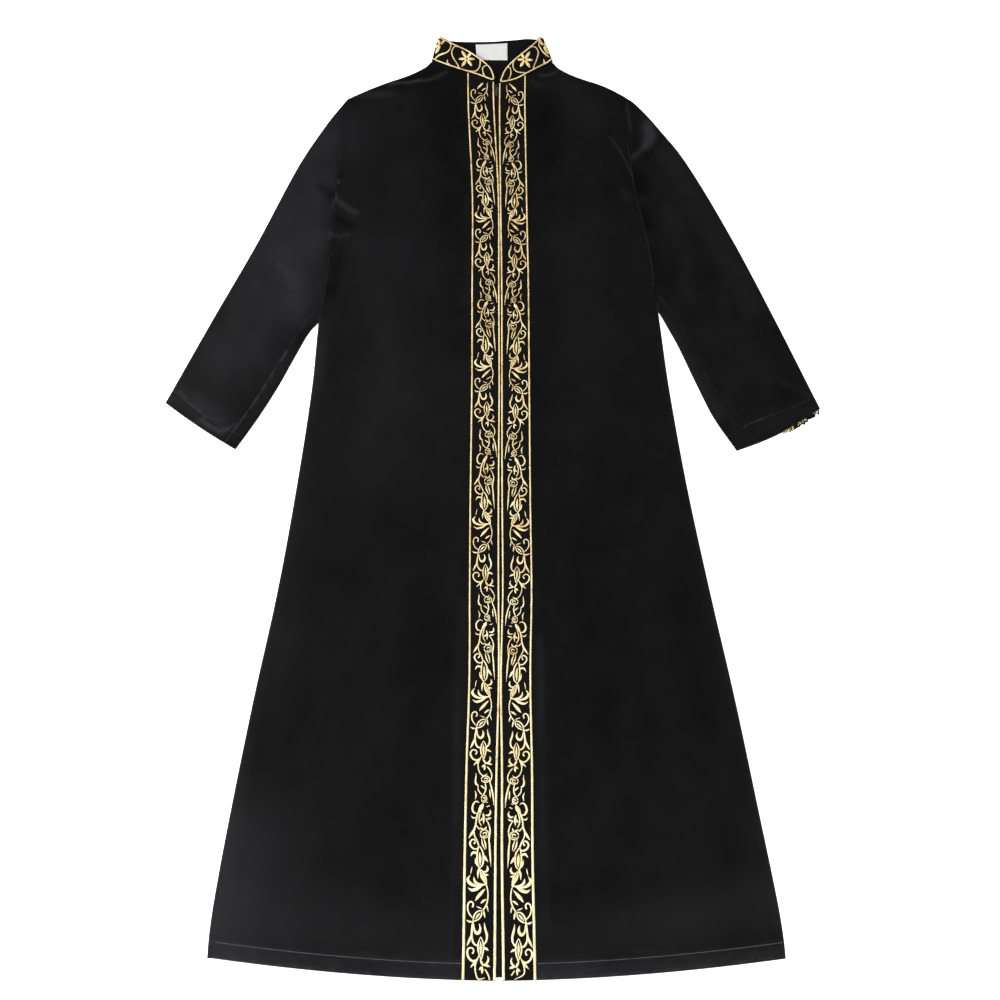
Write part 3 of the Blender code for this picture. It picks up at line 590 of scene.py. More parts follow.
def hem_shape(from_band, from_hem, x):
    """How a turned-up hem stands out: doubled below its row of stitches and pulled in at it."""
    stands = HEM_DOUBLED * ease((HEM_DEPTH - from_hem) / 2.5)
    stands += puckers(abs(from_hem - HEM_DEPTH), x, reach=6, height=0.25)
    stands -= 0.30 * near(from_hem - HEM_DEPTH, 1.1)
    return stands * ease(from_band / 4)


def front_lie(side):
    def lie(u, v):
        u, v = closer_at_ends(u), closer_at_ends(v)
        top_x = mix(edge_x(side, NECK_Y), SHOULDERS[side][-1].x, u)
        hem_x = mix(edge_x(side, 0), side_x(side, HEM_RISE), u)
        y = mix(hem_y(hem_x), top_y(side, top_x) + 1.0, v)
        seam_x = side_x(side, y)
        x = mix(edge_x(side, y), seam_x + side * overlap(side, y), u)
        from_side, from_hem, from_edge = abs(seam_x - x), y - hem_y(x), abs(x - edge_x(side, y))
        z = front_top(side, x, y) + puckers(from_side, y)
        z += hem_shape(from_edge - BAND_REACH, from_hem, x)
        z = rolled(z, from_hem, SIDE_TOP - HEM_FOLD_DROP, radius=HEM_FOLD_RADIUS)
        z = rolled(z, from_edge, z - CLOSING_EDGE, radius=CLOSING_EDGE)

        # Side seam below the arm, armhole seam above it, and shoulder seam
        if y < UNDERARM_Y[side]:
            z = rolled(z, from_side, SEAM_LEVEL)
        elif overlap(side, y) > 0.5:
            past_seam = abs(seam_x + side * overlap(side, y) - x)
            z = rolled(z, past_seam, OVERLAP_LEVEL, radius=OVERLAP_RADIUS)
        else:
            z -= armhole_dip(y) * near(from_side, 1.6)
            z += 0.7 * math.exp(-from_side / 8) * patches(y, from_side, 13, 16, 4.4)
        if side * x > side * NECKLINES[side][-1].x:
            z = rolled(z, top_y(side, x) - y, SEAM_LEVEL)
        return x, y, z

    return lie


for side in (RIGHT, LEFT):
    front = lay_cloth(
        f"front_{named(side)}_panel", columns=88, rows=400, lie=front_lie(side),
        size=(352, 1340), material=satin, wall=FRONT_CLOTH, tone_and_painted_light=front_tone_and_painted_light,
    )
    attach(front, "thobe")
    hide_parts(f"front_{named(side)}")


# Hem stitches
# A row of black machine stitches holds the turned-up hem of each front.

STITCH_LENGTH = 2.7
STITCH_PITCH = 3.3
STITCH_GAP = 0.3
THREAD_WIDTH, THREAD_HEIGHT = 0.45, 0.36
THREAD_RISE = 0.12
HEM_ROW_LENGTH = 305


def plain_thread(name, colour, roughness):
    """Spun thread of one colour, darker and lighter along its twist."""
    thread = Finish(name)
    place = thread.add("ShaderNodeTexCoord", {})["Object"]
    twist = thread.add("ShaderNodeTexNoise", {"Vector": place, "Scale": 900.0})["Fac"]
    dark, light = ([share * part for part in colour] for share in (0.7, 1.2))
    return thread.shader({
        "Base Color": thread.shades(twist, (0.0, dark), (1.0, light)),
        "Roughness": roughness,
        "Specular IOR Level": 0.2,
    })


black_thread = plain_thread("black_thread", colour=(0.035, 0.035, 0.037), roughness=0.5)
# The hem's thread is black, coloured grey here as a painted glint
hem_thread_painted_glint = plain_thread("black_thread_painted_glint", colour=(0.210, 0.210, 0.214), roughness=0.4)

# Each front's cut as it shows: width, length and area within its outline, in metres
FRONT_CUT = {RIGHT: (0.3615, 1.3526, 0.3758), LEFT: (0.3542, 1.3507, 0.3438)}


def add_bead(bm, size, middle, turn=None):
    """A small rounded length of thread or wire: its size along, across and up, and its place."""
    made = bmesh.ops.create_icosphere(bm, subdivisions=1, radius=0.5)["verts"]
    bmesh.ops.scale(bm, vec=size, verts=made)
    if turn is not None:
        bmesh.ops.rotate(bm, cent=(0, 0, 0), matrix=turn.to_matrix(), verts=made)
    for vert in made:
        vert.co = on_table(*(vert.co + middle))


def sew_row(name, line, length, material, pitch=STITCH_PITCH, stitch=STITCH_LENGTH):
    """A row of stitches along line(t), t being mm from its start."""
    bm = bmesh.new()
    for number in range(int(length / pitch)):
        start = line(number * pitch + STITCH_GAP)
        end = line(number * pitch + STITCH_GAP + stitch)
        turn = (end - start).normalized().to_track_quat("X", "Z")
        add_bead(bm, (stitch, THREAD_WIDTH, THREAD_HEIGHT), (start + end) / 2, turn)
    return finished(name, bm, material)


for side in (RIGHT, LEFT):
    def hem_line(t, side=side):
        x = edge_x(side, HEM_DEPTH) + side * (BAND_REACH + 1 + t)
        y = hem_y(x) + HEM_DEPTH
        return Vector((x, y, front_top(side, x, y) + THREAD_RISE))

    stitches = sew_row(f"hem_stitches_{named(side)}", hem_line, HEM_ROW_LENGTH, hem_thread_painted_glint)
    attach(stitches, "thobe")
    width, length, area = FRONT_CUT[side]


# Sleeves
# Each is one piece of cloth rolled into a tube, closed by a seam near its underarm edge and set
# into the armhole. It lies flat, with a soft fold along each edge and a turned-up, sewn cuff.

SLEEVE_COLUMNS = "along outer_x outer_y inner_x inner_y seam_in"
SLEEVES = {
    RIGHT: measures(
        SLEEVE_COLUMNS,
        (0.0, -233, 1283, -261, 902, 28), (0.1, -263, 1237, -274, 885, 30),
        (0.25, -302, 1163, -290, 852, 32), (0.5, -356, 1033, -313, 802, 30),
        (0.75, -414, 905, -339, 753, 23), (1.0, -471, 776, -368, 705, 19),
    ),
    LEFT: measures(
        SLEEVE_COLUMNS,
        (0.0, 191, 1287, 228.5, 919, 32), (0.03, 204.5, 1276, 232, 913, 33),
        (0.1, 231, 1243, 239, 898, 36), (0.25, 278, 1171, 254, 865, 39),
        (0.5, 341, 1039, 276, 809, 32), (0.75, 397, 903, 299, 754, 25),
        (1.0, 450, 767, 329, 703, 21),
    ),
}
CUFF_BOW = {RIGHT: 2.0, LEFT: 6.0}
ARMHOLE_FADE = 0.3
SLEEVE_CLOTH = 0.8
SLEEVE_FULLNESS = 1.9
SLEEVE_EDGE_RADIUS = 1.4
CUFF_HEM = measures(
    "across right left",
    (0.0, 18.5, 18.0), (0.25, 15.8, 18.8), (0.45, 13.9, 21.9), (0.62, 14.2, 24.3),
    (0.78, 16.2, 25.6), (1.0, 19.0, 20.0),
)
CUFF_ROW_FROM, CUFF_ROW_TO, CUFF_ROW_LENGTH = 0.05, 0.95, 118
CUFF_THREAD_RISE = 0.15
# How far in from the seam its painted light line runs, and how wide the painted light lines on
# sewn lines are
SEAM_PAINTED_LIGHT_IN, SEWN_PAINTED_LIGHT_WIDTH = 2.4, 2.6
# A sleeve's cut all round: its greatest width, its length and its area, in metres
SLEEVE_CUT = {RIGHT: (0.2951, 0.5608, 0.1105), LEFT: (0.3188, 0.5847, 0.1293)}
SEAM_STEPS = (-7.0, -4.5, -2.8, -1.6, -0.8, 0.0, 0.8, 1.6, 2.8, 4.5)
BODY_STATIONS, STRIP_STATIONS, FOLD_STATIONS, UNDER_STATIONS = 82, 4, 6, 16

SLEEVE_FOLDS = {
    RIGHT: (
        soft(-0.6, 11, (-268, 1130), (-252, 1114)),
        soft(0.7, 6, (-270, 1050), (-262, 1046), (-251, 1046)),
        soft(0.9, 30, (-282, 1180), (-312, 1090), (-352, 990), (-370, 900)),
        soft(0.7, 30, (-300, 1010), (-290, 960), (-306, 900), (-330, 860)),
        soft(0.7, 11, (-318, 996), (-302, 980), (-282, 975)),
        soft(-0.5, 9, (-310, 960), (-296, 948), (-280, 946)),
        soft(0.7, 9, (-420, 747), (-401, 738), (-384, 730)),
    ),
    LEFT: (
        soft(1.4, 14, (222, 1238), (228, 1219), (220, 1201)),
        soft(0.7, 7, (219, 1198), (208, 1187), (197, 1177)),
        soft(-0.5, 10, (242, 1224), (238, 1202), (226, 1184), (208, 1168)),
        soft(0.25, 4, (193, 1270), (197, 1236), (197, 1198)),
        soft(1.0, 30, (262, 1190), (296, 1110), (332, 1000), (350, 930)),
        soft(0.7, 20, (250, 1085), (272, 1010), (272, 940)),
        soft(0.6, 8, (392, 812), (411, 800), (434, 788)),
        soft(-0.35, 11, (384, 804), (404, 790), (426, 776)),
        soft(0.7, 4, (314, 786), (328, 764), (344, 738)),
        soft(-0.30, 15, (206, 1150), (211, 1126)),
        soft(-0.30, 12, (213, 1086), (219, 1064)),
        soft(-0.30, 12, (223, 1018), (233, 972)),
    ),
}
# Painted light and shade on each sleeve's upper face: its colour painted lighter, or darker below
# 0, along soft paths, standing for sheen
SLEEVE_PAINTED_LIGHT_AND_SHADE = {
    RIGHT: (
        soft(0.34, 85, (-262, 1200), (-310, 1080), (-345, 960), (-370, 850)),
        soft(0.26, 55, (-288, 1010), (-290, 930)),
        soft(0.20, 40, (-262, 1130), (-268, 1040)),
        soft(0.24, 32, (-455, 790), (-385, 740)),
        soft(0.14, 34, (-246, 1262), (-272, 1200)),
        soft(0.62, 6.5, (-417, 749), (-406, 739), (-392, 731), (-382, 733)),
        soft(0.50, 4.0, (-380, 736), (-370, 742)),
        soft(0.40, 4.5, (-451, 792), (-442, 782)),
        soft(0.34, 4.0, (-431, 772), (-420, 762)),
        soft(0.22, 5.0, (-412, 755), (-389, 746)),
        soft(0.60, 2.2, (-248, 1108), (-247, 1090)),
        soft(0.70, 2.2, (-251, 1053), (-250, 1037)),
        soft(0.10, 26, (-270, 1060), (-262, 960)),
        soft(-0.24, 17, (-264, 1130), (-250, 1112)),
        soft(-0.08, 60, (-385, 900), (-372, 830)),
        soft(0.16, 30, (-290, 965), (-292, 912)),
        soft(0.10, 55, (-405, 850), (-398, 785)),
        soft(0.13, 22, (-420, 775), (-394, 756)),
        soft(0.10, 18, (-302, 850), (-328, 792), (-352, 745)),
    ),
    LEFT: (
        soft(0.44, 13, (225, 1238), (229, 1219), (221, 1202)),
        soft(0.28, 17, (222, 1226), (226, 1214)),
        soft(0.24, 4.0, (193, 1276), (196, 1253), (198, 1228)),
        soft(0.36, 6, (219, 1198), (209, 1188), (197, 1177)),
        soft(0.12, 30, (250, 1180), (290, 1105), (330, 1010), (368, 930)),
        soft(0.26, 21, (236, 900), (262, 842), (304, 760)),
        soft(0.08, 20, (335, 716), (440, 772)),
        soft(-0.10, 24, (208, 1148), (216, 1124)),
        soft(-0.08, 17, (213, 1090), (221, 1058)),
        soft(-0.08, 19, (222, 1020), (235, 968)),
        soft(-0.05, 50, (282, 1000), (300, 940)),
        soft(0.08, 45, (235, 1258), (262, 1200)),
        soft(0.05, 85, (262, 1150), (300, 1000), (360, 850)),
    ),
}
# Painted light on sewn lines: how strong, and from which to which part of the seam or of the
# cuff's row
SEWN_PAINTED_LIGHT = {
    RIGHT: measures(
        "on light start end",
        ("seam", 0.22, 0.0, 0.45), ("seam", 1.0, 0.38, 1.0), ("cuff", 0.2, 0.06, 0.9),
    ),
    LEFT: measures(
        "on light start end",
        ("seam", 0.16, 0.0, 1.0), ("cuff", 0.14, 0.04, 0.45), ("cuff", 0.85, 0.46, 0.8),
    ),
}


def sewn_path(side, line):
    """The path of a painted light line on a sewn line: along the cuff's row, or beside the seam.
    """
    for i in range(13):
        way = mix(line.start, line.end, i / 12)
        if line.on == "cuff":
            yield tuple(cuff_spot(side, way))
            continue
        outer, inner = sleeve_edges(side, way)
        seam_in = smooth(SLEEVES[side], "along", "seam_in", way)
        across = 1 - (seam_in - SEAM_PAINTED_LIGHT_IN) / (inner - outer).length
        yield tuple(sleeve_place(side, across, way))


def sleeve_tone_and_painted_light(side):
    """How light a sleeve's colour is: its underside plain, its upper face with painted light and
    shade along creases, sheen paths and sewn lines.
    """
    lines = [
        soft(line.light, SEWN_PAINTED_LIGHT_WIDTH, *sewn_path(side, line)) for line in SEWN_PAINTED_LIGHT[side]
    ]

    def tone_and_painted_light(x, y, z):
        if z < 1.0:
            return even_tone(x, y, z)
        # Painted light and shade along the sheen paths, a painted light line on narrow creases,
        # and broken painted light lines on the sewn lines
        narrow = along_paths(SLEEVE_FOLDS[side], x, y)[1]
        light = even_tone(x, y, z) + along_paths(SLEEVE_PAINTED_LIGHT_AND_SHADE[side], x, y)[0] + 0.13 * narrow
        light += 0.07 * patches(x, y, 26, 32, 1.0) + 0.045 * patches(x, y, 9, 11, 3.0)
        broken = max(0.50 + 1.5 * patches(x, y, 12, 15, 6.0), 0.08)
        light += along_paths(lines, x, y)[0] * broken
        return min(max(light, 0.0), 1.0)

    return tone_and_painted_light


def sleeve_edges(side, along):
    """The outer fold and the underarm fold of a sleeve, at one part of its length."""
    rows = SLEEVES[side]
    outer = Vector([smooth(rows, "along", name, along) for name in ("outer_x", "outer_y")])
    inner = Vector([smooth(rows, "along", name, along) for name in ("inner_x", "inner_y")])
    return outer, inner


@functools.cache
def sleeve_length(side):
    """The length down the middle, from armhole to cuff."""
    (outer, inner), (cuff_outer, cuff_inner) = sleeve_edges(side, 0), sleeve_edges(side, 1)
    return ((cuff_outer + cuff_inner) / 2 - (outer + inner) / 2).length


def cuff_ruler(side):
    """The cuff's straight edge: its outer corner, its way across, the way in and its width."""
    outer, inner = sleeve_edges(side, 1.0)
    across = (inner - outer).normalized()
    return outer, across, -side * Vector((-across.y, across.x)), (inner - outer).length


CUFFS = {side: cuff_ruler(side) for side in (RIGHT, LEFT)}


def cuff_spot(side, across):
    """A place on the row of stitches of a cuff."""
    outer, way, inward, width = CUFFS[side]
    return outer + way * across * width + inward * smooth(CUFF_HEM, "across", named(side), across)


def past_hem(side, spot):
    """How far a place on a sleeve lies past that row, towards the cuff's edge."""
    outer, way, inward, width = CUFFS[side]
    depth = smooth(CUFF_HEM, "across", named(side), (spot - outer).dot(way) / width)
    return depth - (spot - outer).dot(inward)


def sleeve_place(side, across, along):
    """A place on a laid sleeve, from outer fold to underarm and from armhole to cuff."""
    outer, inner = sleeve_edges(side, along)
    first = SLEEVES[side][0]
    spot = outer.lerp(inner, across)
    start_x = mix(first.outer_x, first.inner_x, across)
    start_y = mix(first.outer_y, first.inner_y, across)
    spot.x += (side_x(side, start_y) - start_x) * (1 - ease(along / ARMHOLE_FADE))
    run = (inner - outer).normalized()
    bow = CUFF_BOW[side] * along**6 * math.sin(math.pi * across)
    return spot + side * bow * Vector((-run.y, run.x))


def sleeve_top(side, from_seam, across, along, spot):
    """Height of a sleeve's upper face, with its seam, its cuff and its hand-smoothed cloth."""
    fullness = SLEEVE_FULLNESS * math.sin(math.pi * across) ** 0.7 * ease(along / 0.2)
    z = SIDE_TOP + fullness + along_paths(SLEEVE_FOLDS[side], spot.x, spot.y)[0]
    z += unevenness(spot.x + 40, spot.y, 0.34, 0.12) * math.sin(math.pi * across) ** 0.5
    z += 0.32 * near(from_seam - 2.6, 1.8) - 0.45 * near(from_seam, 0.9)
    z += puckers(abs(from_seam), spot.y, reach=7, height=0.12)
    if along > 0.8:
        past = past_hem(side, spot)
        z += HEM_DOUBLED * ease(past / 2.5) - 0.35 * near(past, 1.2)
        z += puckers(abs(past), spot.x, reach=6, height=0.3)
    from_armhole = along * sleeve_length(side)
    z += puckers(from_armhole, spot.y + 300, reach=10, height=0.35)
    return z - armhole_dip(spot.y) * near(from_armhole, 2.0)


def sleeve_round():
    """Stations round a sleeve as (part, how far, angle). The parts are the body up to the seam,
    the seam, the strip to the underarm fold, the folds and the underside. The angle is 90 on
    top and -90 under."""
    body = [closer_at_ends((i + 0.5) / BODY_STATIONS, 0.5) for i in range(BODY_STATIONS)]
    strip = [(i + 0.7) / STRIP_STATIONS for i in range(STRIP_STATIONS)]
    under = [1 - closer_at_ends((i + 0.5) / UNDER_STATIONS, 0.6) for i in range(UNDER_STATIONS)]
    turns = [90 - 180 * i / FOLD_STATIONS for i in range(FOLD_STATIONS + 1)]
    stations = [("body", how_far, 90) for how_far in body]
    stations += [("seam", step, 90) for step in SEAM_STEPS]
    stations += [("strip", how_far, 90) for how_far in strip]
    stations += [("underarm", 0, turn) for turn in turns]
    stations += [("under", how_far, -90) for how_far in under]
    stations += [("outer", 0, -turn) for turn in turns]
    return stations + stations[:1]


def sleeve_lie(side):
    stations = sleeve_round()

    def lie(u, v):
        part, how_far, angle = stations[round(u * (len(stations) - 1))]
        along = closer_at_ends(v, 0.7)
        outer, inner = sleeve_edges(side, along)
        width = (inner - outer).length
        turn = math.radians(angle)
        edge = SLEEVE_EDGE_RADIUS
        seam = width - smooth(SLEEVES[side], "along", "seam_in", along)
        before, after = seam + SEAM_STEPS[0] - 1.5, seam + SEAM_STEPS[-1] + 1.5
        inset = edge * (1 - math.cos(turn))
        far = {
            "body": mix(edge, before, how_far),
            "seam": seam + how_far,
            "strip": mix(after, width - edge, how_far),
            "underarm": width - inset,
            "under": mix(edge, width - edge, how_far),
            "outer": inset,
        }[part]
        spot = sleeve_place(side, far / width, along)
        top = sleeve_top(side, far - seam, far / width, along, spot)
        z = mix(0.0, top, 0.5 + 0.5 * math.sin(turn))
        if v == 0:
            spot.x -= side * 1.2
        return spot.x, spot.y, z

    return lie


for side in (RIGHT, LEFT):
    round_count = len(sleeve_round()) - 1
    sleeve = lay_cloth(
        f"sleeve_{named(side)}_tube", columns=round_count, rows=210, lie=sleeve_lie(side),
        size=(470, 560), material=satin, wall=SLEEVE_CLOTH, tube=True, tone_and_painted_light=sleeve_tone_and_painted_light(side),
    )
    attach(sleeve, "thobe")
    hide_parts(f"sleeve_{named(side)}")

    def cuff_line(t, side=side):
        across = mix(CUFF_ROW_FROM, CUFF_ROW_TO, t / CUFF_ROW_LENGTH)
        spot = cuff_spot(side, across)
        return Vector((spot.x, spot.y, sleeve_top(side, 9, across, 0.95, spot) + CUFF_THREAD_RISE))

    stitches = sew_row(
        f"cuff_stitches_{named(side)}", cuff_line, CUFF_ROW_LENGTH - 2, black_thread
    )
    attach(stitches, "thobe")
    width, length, area = SLEEVE_CUT[side]


# Zip
# A closing zip under the front edges: black tapes, a coil of small teeth between them, and the
# frame's metal slider and pull at the top, which only get their finish here.

TAPE_HALF = 12.0
TAPE_TOP = 2.45
TAPE_CLOTH = 0.5
TAPE_LOW_Y, TAPE_HIGH_Y = 5.0, 1309.0
COIL_PITCH = 1.3
COIL_HIGH_Y = 1298.0
COIL_TOOTH = (2.6, 0.75, 0.55)
COIL_RISE = 0.22
WORN_EDGE = 0.22


def closing_x(y):
    """The middle of the slit between the two front edges."""
    return (edge_x(RIGHT, y) + edge_x(LEFT, y)) / 2


tape_cloth = woven_cloth(
    "zip_tape_cloth", dark=(0.0040, 0.0040, 0.0042), light=(0.0100, 0.0100, 0.0110),
    roughness=0.7, relief=0.05,
)


def tape_lie(u, v):
    y = mix(TAPE_LOW_Y, TAPE_HIGH_Y, v)
    return closing_x(y) + (u - 0.5) * 2 * TAPE_HALF, y, TAPE_TOP


tape = lay_cloth(
    "zip_tape_pair", columns=6, rows=160, lie=tape_lie,
    size=(24, 1287), material=tape_cloth, wall=TAPE_CLOTH,
)
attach(tape, "thobe")
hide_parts("zip_tape")

bm = bmesh.new()
for number in range(int((COIL_HIGH_Y - TAPE_LOW_Y) / COIL_PITCH)):
    y = TAPE_LOW_Y + number * COIL_PITCH
    add_bead(bm, COIL_TOOTH, Vector((closing_x(y), y, TAPE_TOP + COIL_RISE)))
nylon = plain_thread("coil_nylon", colour=(0.010, 0.010, 0.011), roughness=0.4)
coil = finished("zip_coil", bm, nylon)
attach(coil, "thobe")


def dull_nickel(name, dark, light):
    """Plated metal, finely scratched, in a darker and a lighter shade."""
    metal = Finish(name)
    place = metal.add("ShaderNodeTexCoord", {})["Object"]
    wear = metal.add("ShaderNodeTexNoise", {"Vector": place, "Scale": 700.0, "Detail": 5.0})["Fac"]
    gloss = metal.add("ShaderNodeMapRange", {"Value": wear, "To Min": 0.30, "To Max": 0.48})
    return metal.shader({
        "Base Color": metal.shades(wear, (0.35, dark), (0.75, light)),
        "Roughness": gloss["Result"],
        "Metallic": 0.9,
    })


nickel = dull_nickel("dull_nickel", (0.07, 0.068, 0.066), (0.15, 0.147, 0.144))
blackened = dull_nickel("blackened_nickel", (0.012, 0.012, 0.012), (0.03, 0.03, 0.03))
for node, finish in (("zip_slider", blackened), ("zip_pull", nickel)):
    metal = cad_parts[node]
    metal.data.materials.clear()
    metal.data.materials.append(finish)
    rounded = metal.modifiers.new("worn edges", "BEVEL")
    rounded.width = WORN_EDGE * MM
    rounded.segments = 2
    rounded.limit_method = "ANGLE"


# Embroidered bands
# A folded strip of black cloth is sewn along each front edge, from the hem to the neck. Gold
# thread is worked on it in raised satin stitch: a line down each side and a climbing vine.

BAND_WIDTH = 41.0
BAND_CLOTH = 0.85
BAND_RISE = 1.15
BAND_OVER = 0.5
LINE_IN = 1.25
LINE_WIDTH_TOP, LINE_WIDTH_HEM = 2.1, 3.3
LINE_SLIMMER_Y = 560
LINE_STOPS = 210
LINE_HEIGHT = 0.85
STROKE_STEP = 1.25
STROKE_ACROSS = (-0.5, -0.36, 0.0, 0.36, 0.5)
STROKE_UP = (0.0, 0.72, 1.0, 0.72, 0.0)
SUNK = -0.15
BAND_NUDGE = (0.5, 0.5)

band_cloth = woven_cloth(
    "black_band_cloth", dark=(0.0016, 0.0015, 0.0017), light=(0.0110, 0.0105, 0.0112),
    roughness=0.55, relief=0.05,
)


def stitched_gold(name):
    """Gold satin stitch: close parallel threads across each stroke, lighter in places or amber,
    with painted shade between the threads and painted light towards the hem.
    """
    gold = Finish(name)
    weave = gold.add("ShaderNodeUVMap", {}, uv_map="weave")["UV"]
    slant = gold.add("ShaderNodeMapping", {"Vector": weave, "Rotation": (0, 0, 0.25)})["Vector"]
    threads = gold.add(
        "ShaderNodeTexWave",
        {"Vector": slant, "Scale": 7.0, "Distortion": 1.2, "Detail Scale": 3.0},
        bands_direction="Y",
    )
    place = gold.add("ShaderNodeTexCoord", {})["Object"]
    mottling = gold.add(
        "ShaderNodeTexNoise", {"Vector": place, "Scale": 70.0, "Detail": 4.0, "Roughness": 0.7}
    )
    # Painted light: lighter towards the hem, standing for the stronger light on the thread there
    up = gold.add("ShaderNodeSeparateXYZ", {"Vector": place})["Y"]
    gold_painted_hem_light = gold.add("ShaderNodeMapRange", {
        "Value": up, "From Min": 0.25, "From Max": -0.62, "To Min": -0.05, "To Max": 0.13,
    })
    tone = gold.add(
        "ShaderNodeMath", {0: mottling["Fac"], 1: gold_painted_hem_light["Result"]}, operation="ADD"
    )["Value"]
    amber, yellow, pale = (0.52, 0.31, 0.10), (0.80, 0.62, 0.28), (0.86, 0.77, 0.48)
    # Painted shade: the colour is darkened between the threads, where the bump lies low
    painted_groove_shade = gold.add(
        "ShaderNodeMix",
        {
            "Factor": 0.30,
            "A": gold.shades(tone, (0.30, amber), (0.47, yellow), (0.66, pale)),
            "B": threads["Color"],
        },
        data_type="RGBA", blend_type="MULTIPLY",
    )
    gloss = gold.add(
        "ShaderNodeMapRange", {"Value": threads["Fac"], "To Min": 0.52, "To Max": 0.36}
    )
    bump = gold.add(
        "ShaderNodeBump", {"Height": threads["Fac"], "Strength": 0.5, "Distance": 0.12 * MM}
    )
    return gold.shader({
        "Base Color": painted_groove_shade["Result"],
        "Roughness": gloss["Result"],
        "Normal": bump["Normal"],
        "Metallic": 0.25,
    })


gold = stitched_gold("gold_thread")


def band_face(side):
    """A place on a band, by how far out from its closing edge and how far up the robe."""

    def face(out, y):
        x = edge_x(side, y) + side * out
        tight = 0.10 * patches(x, y, 6.5, 6.5, 5.0)
        return Vector((x, y, front_top(side, x, y) + BAND_RISE + tight))

    return face


def band_lie(side):
    """A band's strip, rolled down to the front along its edges and at its hem."""
    face = band_face(side)

    def lie(u, v):
        u, v = closer_at_ends(u, 0.8), closer_at_ends(v, 0.5)
        out = mix(-BAND_OVER, BAND_WIDTH + BAND_OVER, u)
        top_x = edge_x(side, NECK_Y) + side * out
        low = hem_y(edge_x(side, 0) + side * out)
        spot = face(out, mix(low, top_y(side, top_x) + 1.0, v))
        bottom = spot.z - 1.0
        from_edge = min(out, BAND_WIDTH - out) + BAND_OVER
        spot.z = rolled(spot.z, from_edge, bottom, radius=1.1)
        spot.z = rolled(spot.z, spot.y - low, bottom, radius=1.4)
        return spot

    return lie


def through(stops, t):
    """A point on a soft curve through the stops, t from 0 to 1."""
    at = min(max(t, 0.0), 1.0) * (len(stops) - 1)
    i = min(int(at), len(stops) - 2)
    f = at - i
    before, a, b, after = (
        Vector(stops[min(max(k, 0), len(stops) - 1)]) for k in (i - 1, i, i + 1, i + 2)
    )
    return 0.5 * (
        2 * a
        + (b - before) * f
        + (2 * before - 5 * a + 4 * b - after) * f * f
        + (3 * (a - b) + after - before) * f**3
    )


def satin_stroke(bm, side, stops, face, nudge, height=None):
    """One line of satin stitch. Its stops are (a, b, width), and face(a, b) is the cloth there;
    nudge is a small step of a and of b, for the way that the cloth faces."""
    spots = [face(a, b) for a, b, _ in stops]
    length = sum((end - start).length for start, end in zip(spots, spots[1:]))
    steps = max(4, round(length / STROKE_STEP))
    rows = []
    for i in range(steps + 1):
        a, b, width = through(stops, i / steps)
        spot = face(a, b)
        up = side * (face(a + nudge[0], b) - spot).cross(face(a, b + nudge[1]) - spot)
        rows.append((spot, up.normalized(), max(width, 0.3)))
    made = bmesh.ops.create_grid(bm, x_segments=4, y_segments=steps, size=0.5)["verts"]
    weave = bm.loops.layers.uv["weave"]
    walked = [0.0]
    for (start, _, _), (end, _, _) in zip(rows, rows[1:]):
        walked.append(walked[-1] + (end - start).length)
    faces = {face_of for vert in made for face_of in vert.link_faces}
    places = {}
    for vert in made:
        across, along = round((vert.co.x + 0.5) * 4), round((vert.co.y + 0.5) * steps)
        spot, up, width = rows[along]
        ahead = rows[min(along + 1, steps)][0] - rows[max(along - 1, 0)][0]
        aside = ahead.cross(up).normalized()
        tall = (height or 0.22 + 0.13 * width) * STROKE_UP[across]
        if along in (0, steps):
            tall = 0.0
        places[vert] = (width * STROKE_ACROSS[across] / CM, walked[along] / CM)
        vert.co = on_table(*(
            spot + aside * width * STROKE_ACROSS[across] + up * (tall + SUNK)
        ))
    for part in faces:
        for loop in part.loops:
            loop[weave].uv = places[loop.vert]


def new_embroidery():
    """An empty mesh for strokes, with the layer that their thread follows."""
    bm = bmesh.new()
    bm.loops.layers.uv.new("weave")
    return bm


def gold_line_stops(side, out):
    """The stops of a gold line down a band: thicker towards the hem and a little unsteady."""
    low = hem_y(edge_x(side, 0) + side * out) + 0.6
    high = top_y(side, edge_x(side, NECK_Y) + side * out)
    for i in range(LINE_STOPS + 1):
        y = mix(low, high, i / LINE_STOPS)
        waver = 0.16 * patches(out, y, 1, 9, 2.0 + side)
        swell = 0.25 * patches(out + 5, y, 1, 5, 7.0 + side)
        width = mix(LINE_WIDTH_HEM, LINE_WIDTH_TOP, ease(y / LINE_SLIMMER_Y))
        yield out + waver, y, width + swell


# Each band's cut: its width, its length along the front edge and its area, in metres
BAND_CUT = {RIGHT: (0.041, 1.3285, 0.0541), LEFT: (0.041, 1.3236, 0.0540)}
for side in (RIGHT, LEFT):
    band = lay_cloth(
        f"band_{named(side)}_strip", columns=16, rows=420, lie=band_lie(side),
        size=(BAND_WIDTH, 1312), material=band_cloth, wall=BAND_CLOTH,
    )
    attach(band, "thobe")
    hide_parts(f"band_{named(side)}")

    for where, out in (("inner", LINE_IN), ("outer", BAND_WIDTH - LINE_IN)):
        bm = new_embroidery()
        stops = list(gold_line_stops(side, out))
        satin_stroke(bm, side, stops, band_face(side), BAND_NUDGE, height=LINE_HEIGHT)
        line = finished(f"gold_line_{named(side)}_{where}", bm, gold)
        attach(line, "thobe")
        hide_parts(f"border_{named(side)}_{where}")


# Vine
# The climbing vine on each band, in gold satin stitch. One repeat is charted here, in mm out
# from the inner gold line and down from the foot of its fan, and both bands mirror each other.

